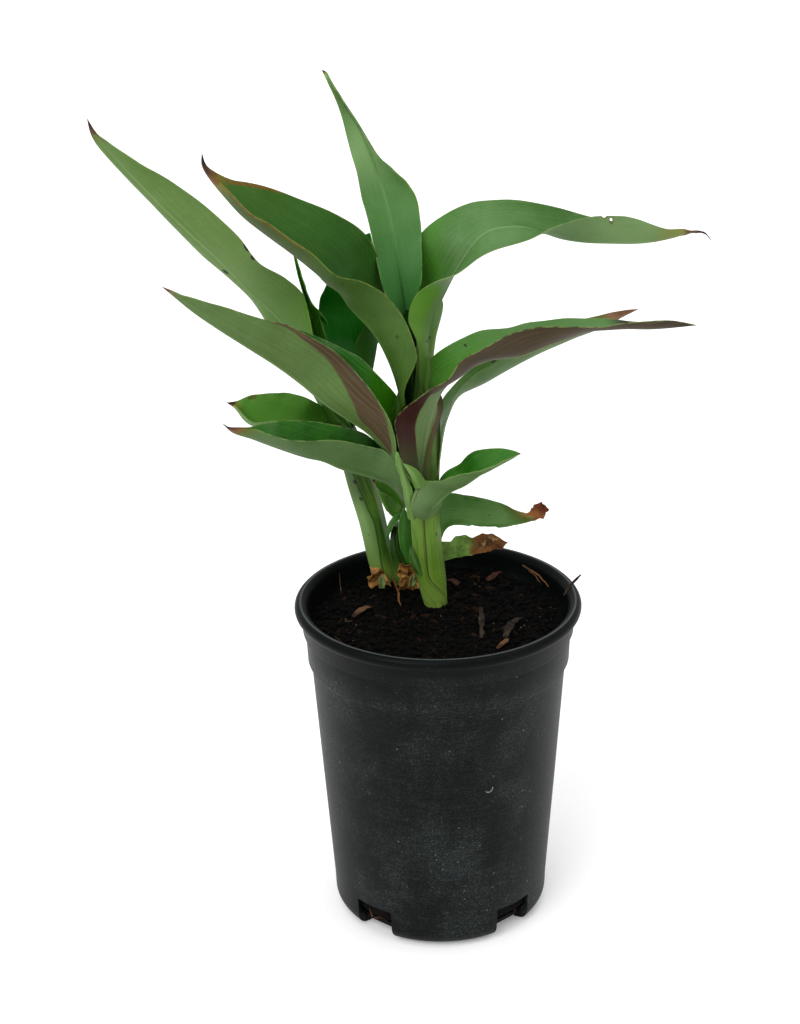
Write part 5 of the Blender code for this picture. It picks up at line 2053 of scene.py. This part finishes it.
@dataclass
class Soil:
    """The plug of potting mix: an uneven, crumbly top with loose crumbs, chips, perlite and fibres."""

    pot: Pot
    top: float = 184.0
    clearance: float = 0.7
    relief: float = 2.8
    seed: int = 5
    wall_dip: float = 1.6
    dip_start: float = 0.75

    GRID = 181
    BROAD = 0.045
    LUMPS = 0.16
    LITTER = (
        Litter("soil_crumbs", 3600, (0.4, 2.4), (1.0, 0.85, 0.75), EarthFinish(), 11),
        Litter(
            "soil_chips", 110, (1.0, 3.2), (1.6, 0.7, 0.3),
            EarthFinish((62, 44, 30), (30, 20, 14), (96, 72, 50)), 12,
        ),
        Litter(
            "perlite_specks", 240, (0.16, 0.62), (1.0, 0.9, 0.8),
            EarthFinish((140, 134, 122), (84, 78, 70), (184, 180, 168), 900.0), 13,
        ),
        Litter(
            "soil_fibres", 46, (0.8, 3.6), (2.2, 0.10, 0.10),
            EarthFinish((120, 92, 62), (70, 50, 34), (150, 120, 86)), 14,
        ),
    )

    def radius(self) -> float:
        """The radius of the top of the plug."""
        return self.pot.inner(self.top) - self.clearance

    def level(self, x: float, y: float) -> float:
        """Height of the soil at a place.

        Args:
            x: Place across the pot.
            y: Place along the pot.

        Returns:
            The height, lower near the wall.
        """
        spot = Vector((x, y, self.seed * 3.7))
        broad = noise.noise(spot * self.BROAD)
        lumps = noise.fractal(spot * self.LUMPS, 0.9, 2.2, 4)
        near_wall = min(math.hypot(x, y) / self.radius(), 1.0)
        dip = self.wall_dip * max(near_wall - self.dip_start, 0.0) / (1.0 - self.dip_start)
        return self.top - 0.6 + 0.45 * self.relief * broad + 0.42 * self.relief * lumps - dip

    def plug(self) -> bpy.types.Object:
        """Models the plug itself: its top from a grid, its side and foot extruded down."""
        steps = np.linspace(-1.0, 1.0, self.GRID)
        x, y = np.meshgrid(steps, steps)
        radius = self.radius()
        wide = x * np.sqrt(1.0 - y**2 / 2.0) * radius
        deep = y * np.sqrt(1.0 - x**2 / 2.0) * radius
        high = np.vectorize(self.level)(wide, deep)
        piece = Bench.sheet("potting_mix", np.stack([wide, deep, high], axis=-1))[0]
        pot, foot = self.pot, self.pot.body_foot
        rings = (
            (foot + 4.0, pot.inner(foot + 4.0) - self.clearance),
            (13.0, pot.inner(foot) - 0.8 - self.clearance),
            (pot.lift + pot.wall + 0.3, pot.base_radius + 0.8 - self.clearance),
        )
        steps_made = [(bpy.ops.mesh.region_to_loop, {})]
        last_height, last_radius = self.top - 2.2, radius
        for height, outer in rings:
            move, size = (0, 0, (height - last_height) * MM), outer / last_radius
            steps_made += [
                (bpy.ops.mesh.extrude_region_move, {"TRANSFORM_OT_translate": {"value": move}}),
                (bpy.ops.transform.resize, {"value": (size, size, 1.0), "center_override": (0, 0, 0)}),
            ]
            last_height, last_radius = height, outer
        steps_made += [(bpy.ops.mesh.edge_face_add, {}), Bench.ALL, Bench.OUTWARD]
        Bench.edit(piece, *steps_made)
        piece.data.materials.append(EarthFinish().material("potting_mix"))
        Bench.smooth(piece, 60.0)
        return settle(piece, "potting_mix", "root_ball")

    def spots(self, chance: np.random.Generator, count: int, reach: float = 0.97) -> np.ndarray:
        """Random places on the soil, clear of the wall."""
        angle = chance.uniform(0.0, math.tau, count)
        away = np.sqrt(chance.uniform(0.0, 1.0, count)) * self.radius() * reach
        return np.stack([away * np.cos(angle), away * np.sin(angle)], axis=1)

    def lump(self) -> tuple[np.ndarray, np.ndarray]:
        """Points and faces of a plain lump of twenty faces, from an operator's ball."""
        Bench.deselect()
        bpy.ops.mesh.primitive_ico_sphere_add(subdivisions=1, radius=1.0)
        ball = bpy.context.active_object
        points = np.array([v.co[:] for v in ball.data.vertices])
        faces = np.array([p.vertices[:] for p in ball.data.polygons])
        bpy.data.objects.remove(ball, do_unlink=True)
        return points, faces

    def strew(self, kind: Litter) -> bpy.types.Object:
        """Scatters many small lumps of one kind over the soil, as one joined piece."""
        chance = np.random.default_rng(kind.seed)
        points, faces = self.lump()
        places = self.spots(chance, kind.count)
        every_point, every_face = [], []
        for number, (x, y) in enumerate(places):
            radius = kind.size[0] + (kind.size[1] - kind.size[0]) * chance.random() ** 2.5
            one = points * chance.uniform(0.75, 1.25, points.shape) * np.array(kind.shape) * radius
            spin = Matrix.Rotation(chance.uniform(0, math.tau), 3, "Z")
            turn = spin @ Matrix.Rotation(chance.uniform(-0.5, 0.5), 3, "X")
            height = self.level(x, y) + radius * kind.shape[2] * chance.uniform(0.0, 0.7)
            every_point.append(one @ np.array(turn).T + np.array((x, y, height)))
            every_face.append(faces + number * len(points))
        piece = Bench.joined(kind.name, np.vstack(every_point), np.vstack(every_face))
        piece.data.materials.append(kind.finish.material(kind.name))
        return settle(piece, "potting_mix")

    def build(self) -> None:
        """Models the soil and all that lies on it."""
        self.plug()
        for kind in self.LITTER:
            self.strew(kind)


@dataclass
class Scrap(WitheredLeaf):
    """A chip, straw, twig or root along a line of its own, on the soil or in a notch."""

    line: tuple[Point, ...] = ()
    width: float = 2.0

    HALF_COLUMNS = 3
    ROW = 1.2
    SAMPLES = 12

    def nodes(self) -> tuple[str, ...]:
        """A scrap takes no solid's place."""
        return ()

    def outline(self) -> Outline:
        """The scrap's line, with blunt ends and a middle that is a little wider."""
        line = smooth_curve(self.line, self.SAMPLES)
        side = unit(np.cross(np.gradient(line, axis=0), (0.0, 0.0, 1.0)))
        half = np.sin(np.linspace(0.10, 0.93, self.SAMPLES) * math.pi)[:, None] ** 0.5 * self.width / 2
        return Outline(*(tuple(map(tuple, line + side * half * way)) for way in (0.0, -1.0, 1.0)))


def all_scraps() -> list[Scrap]:
    """The chips, straws, twigs and roots on the soil and in the notches."""
    fawn = DryFinish(base=(104, 76, 54), deep=(48, 32, 22), pale=(146, 116, 88))
    brown = DryFinish(base=(70, 42, 28), deep=(30, 18, 12), pale=(104, 72, 52))
    straw = DryFinish(base=(122, 86, 52), deep=(66, 42, 24), pale=(160, 126, 88))
    grey = DryFinish(base=(58, 48, 38), deep=(22, 17, 13), pale=(96, 82, 66))
    laid = (
        ("chip_left", fawn, 4.0, 41, 1.2, (-49, -0.4, 185.2), (-44, 5, 187.4), (-38.1, 11.2, 186.4)),
        ("chip_back", brown, 4.0, 42, 1.2, (30.3, 46, 185.4), (35, 51, 187.0), (39.1, 55.6, 186.6)),
        ("chip_right", grey, 5.0, 43, 2.0, (37, -30.9, 185.4), (41, -19, 188.0), (46.7, -9.3, 187.0)),
        ("flake_long", grey, 3.0, 44, 2.0, (25.1, 7.4, 186.0), (24.6, -12, 187.4), (23.4, -32.9, 185.4)),
        ("bit_middle", brown, 3.6, 45, 1.2, (5.9, 46.9, 185.6), (10, 43, 187.2), (13.4, 39.5, 186.0)),
        ("fibre_front", fawn, 3.0, 46, 1.2, (31.9, -44.5, 185.4), (36, -40, 187.0), (38.6, -33.5, 186.2)),
        ("straw_foot", straw, 1.3, 47, 0.8, (-26.1, 42.5, 190.0), (-24, 30, 190.6), (-21.2, 11.2, 186.2)),
        ("twig_right", straw, 0.7, 48, 0.5, (51.5, 46, 195.0), (60, 37, 192.6), (65.5, 25, 190.6)),
        ("twig_fork", fawn, 0.5, 49, 0.5, (55, 41, 194.0), (59, 40, 190.4), (62, 34, 187.6)),
        ("twig_rim", grey, 1.8, 50, 0.3, (73, 8, 192.5), (77.4, 12, 197.4), (80.6, 16, 198.6), (83.4, 19, 200.6)),
        ("root_notch", straw, 1.4, 52, 0.8, (-42.5, -41.6, 19.0), (-42.0, -42.6, 13.0), (-41.0, -43.0, 9.5)),
        ("root_side", brown, 1.2, 53, 0.8, (-40.0, -44.6, 10.0), (-36.0, -47.0, 11.6), (-32.0, -49.0, 10.2)),
        ("root_right", brown, 1.1, 54, 0.8, (44.0, -39.8, 17.5), (43.0, -41.4, 13.0), (41.0, -43.4, 10.0)),
        ("hair_left", fawn, 0.5, 51, 0.3, (-57.5, 41.5, 194.0), (-57, 36, 190.0), (-56, 30, 186.0)),
    )
    return [
        Scrap(name, dry=dry, width=width, seed=seed, crumple=crumple, line=places)
        for name, dry, width, seed, crumple, *places in laid
    ]


# ---------------------------------------------------------------- studio


@dataclass(frozen=True)
class Studio:
    """Pale floor, soft lights and the camera."""

    target: Point = (-20.9, 0.0, 250.0)
    distance: float = 1200.0
    elevation: float = 22.9
    roll: float = -0.95
    lens: float = 74.74
    floor_size: float = 40.0
    floor_shade: Colour = (260, 260, 260)
    floor_glow: float = 0.15
    surround: float = 0.75

    WHITE = (1.0, 1.0, 1.0, 1.0)
    LIGHTS = (
        ("key_light", (-0.9, -1.35, 1.6), 40.0, 1.5),
        ("fill_light", (1.6, -0.9, 1.2), 60.0, 0.2),
        ("top_light", (0.1, 0.4, 2.3), 60.0, 0.8),
    )

    def camera(self) -> None:
        """Adds the camera and makes it the scene's own."""
        rise = math.radians(self.elevation)
        back = Vector((0.0, -math.cos(rise), math.sin(rise)))
        level = Vector((1.0, 0.0, 0.0))
        up = Vector((0.0, math.sin(rise), math.cos(rise)))
        turn = math.radians(self.roll)
        right = level * math.cos(turn) + up * math.sin(turn)
        top = up * math.cos(turn) - level * math.sin(turn)
        place = (Vector(self.target) + back * self.distance) * MM
        data = bpy.data.cameras.new("camera")
        data.lens = self.lens
        data.sensor_width = 36.0
        data.clip_start = 0.05
        data.clip_end = 20.0
        made = bpy.data.objects.new("camera", data)
        bpy.context.collection.objects.link(made)
        axes = Matrix((right, top, back)).transposed()
        made.matrix_world = Matrix.Translation(place) @ axes.to_4x4()
        bpy.context.scene.camera = made

    def light(self, name: str, place: Point, spread: float, strength: float) -> None:
        """Adds a wide, even light that shines from one side on all there is.

        Args:
            name: Its name.
            place: Where it shines from, towards the middle.
            spread: How wide it is, in degrees.
            strength: Its strength.
        """
        data = bpy.data.lights.new(name, "SUN")
        data.angle = math.radians(spread)
        data.energy = strength
        made = bpy.data.objects.new(name, data)
        bpy.context.collection.objects.link(made)
        made.location = place
        made.rotation_euler = (-Vector(place)).to_track_quat("-Z", "Y").to_euler()

    def floor(self) -> None:
        """Adds the pale floor."""
        Bench.deselect()
        bpy.ops.mesh.primitive_plane_add(size=self.floor_size)
        plane = Bench.named("studio_floor")
        glow = {"Emission_Color": self.WHITE, "Emission_Strength": self.floor_glow}
        kit = NodeKit("studio_floor")
        plane.data.materials.append(kit.finish(self.floor_shade, 1.0, Specular_IOR_Level=0.0, **glow))

    def surroundings(self) -> None:
        """Lights the scene evenly from all round."""
        world = bpy.data.worlds.new("studio")
        bpy.context.scene.world = world
        world.use_nodes = True
        shade = world.node_tree.nodes["Background"]
        shade.inputs["Color"].default_value = self.WHITE
        shade.inputs["Strength"].default_value = self.surround

    def build(self) -> None:
        """Sets the whole studio up."""
        self.floor()
        self.surroundings()
        for light in self.LIGHTS:
            self.light(*light)
        self.camera()
        bpy.context.scene.view_settings.view_transform = "Standard"


def main() -> None:
    """Builds pot, soil, stems and leaves in order, then the studio."""
    logging.basicConfig(level=logging.INFO, format="%(message)s")
    pot = Pot()
    pot.build()
    Soil(pot).build()
    for part in (*all_stems(), *all_leaves(), *all_sheaths(), *all_withered(), *all_scraps()):
        part.build()
    Studio().build()


if __name__ == "__main__":
    main()
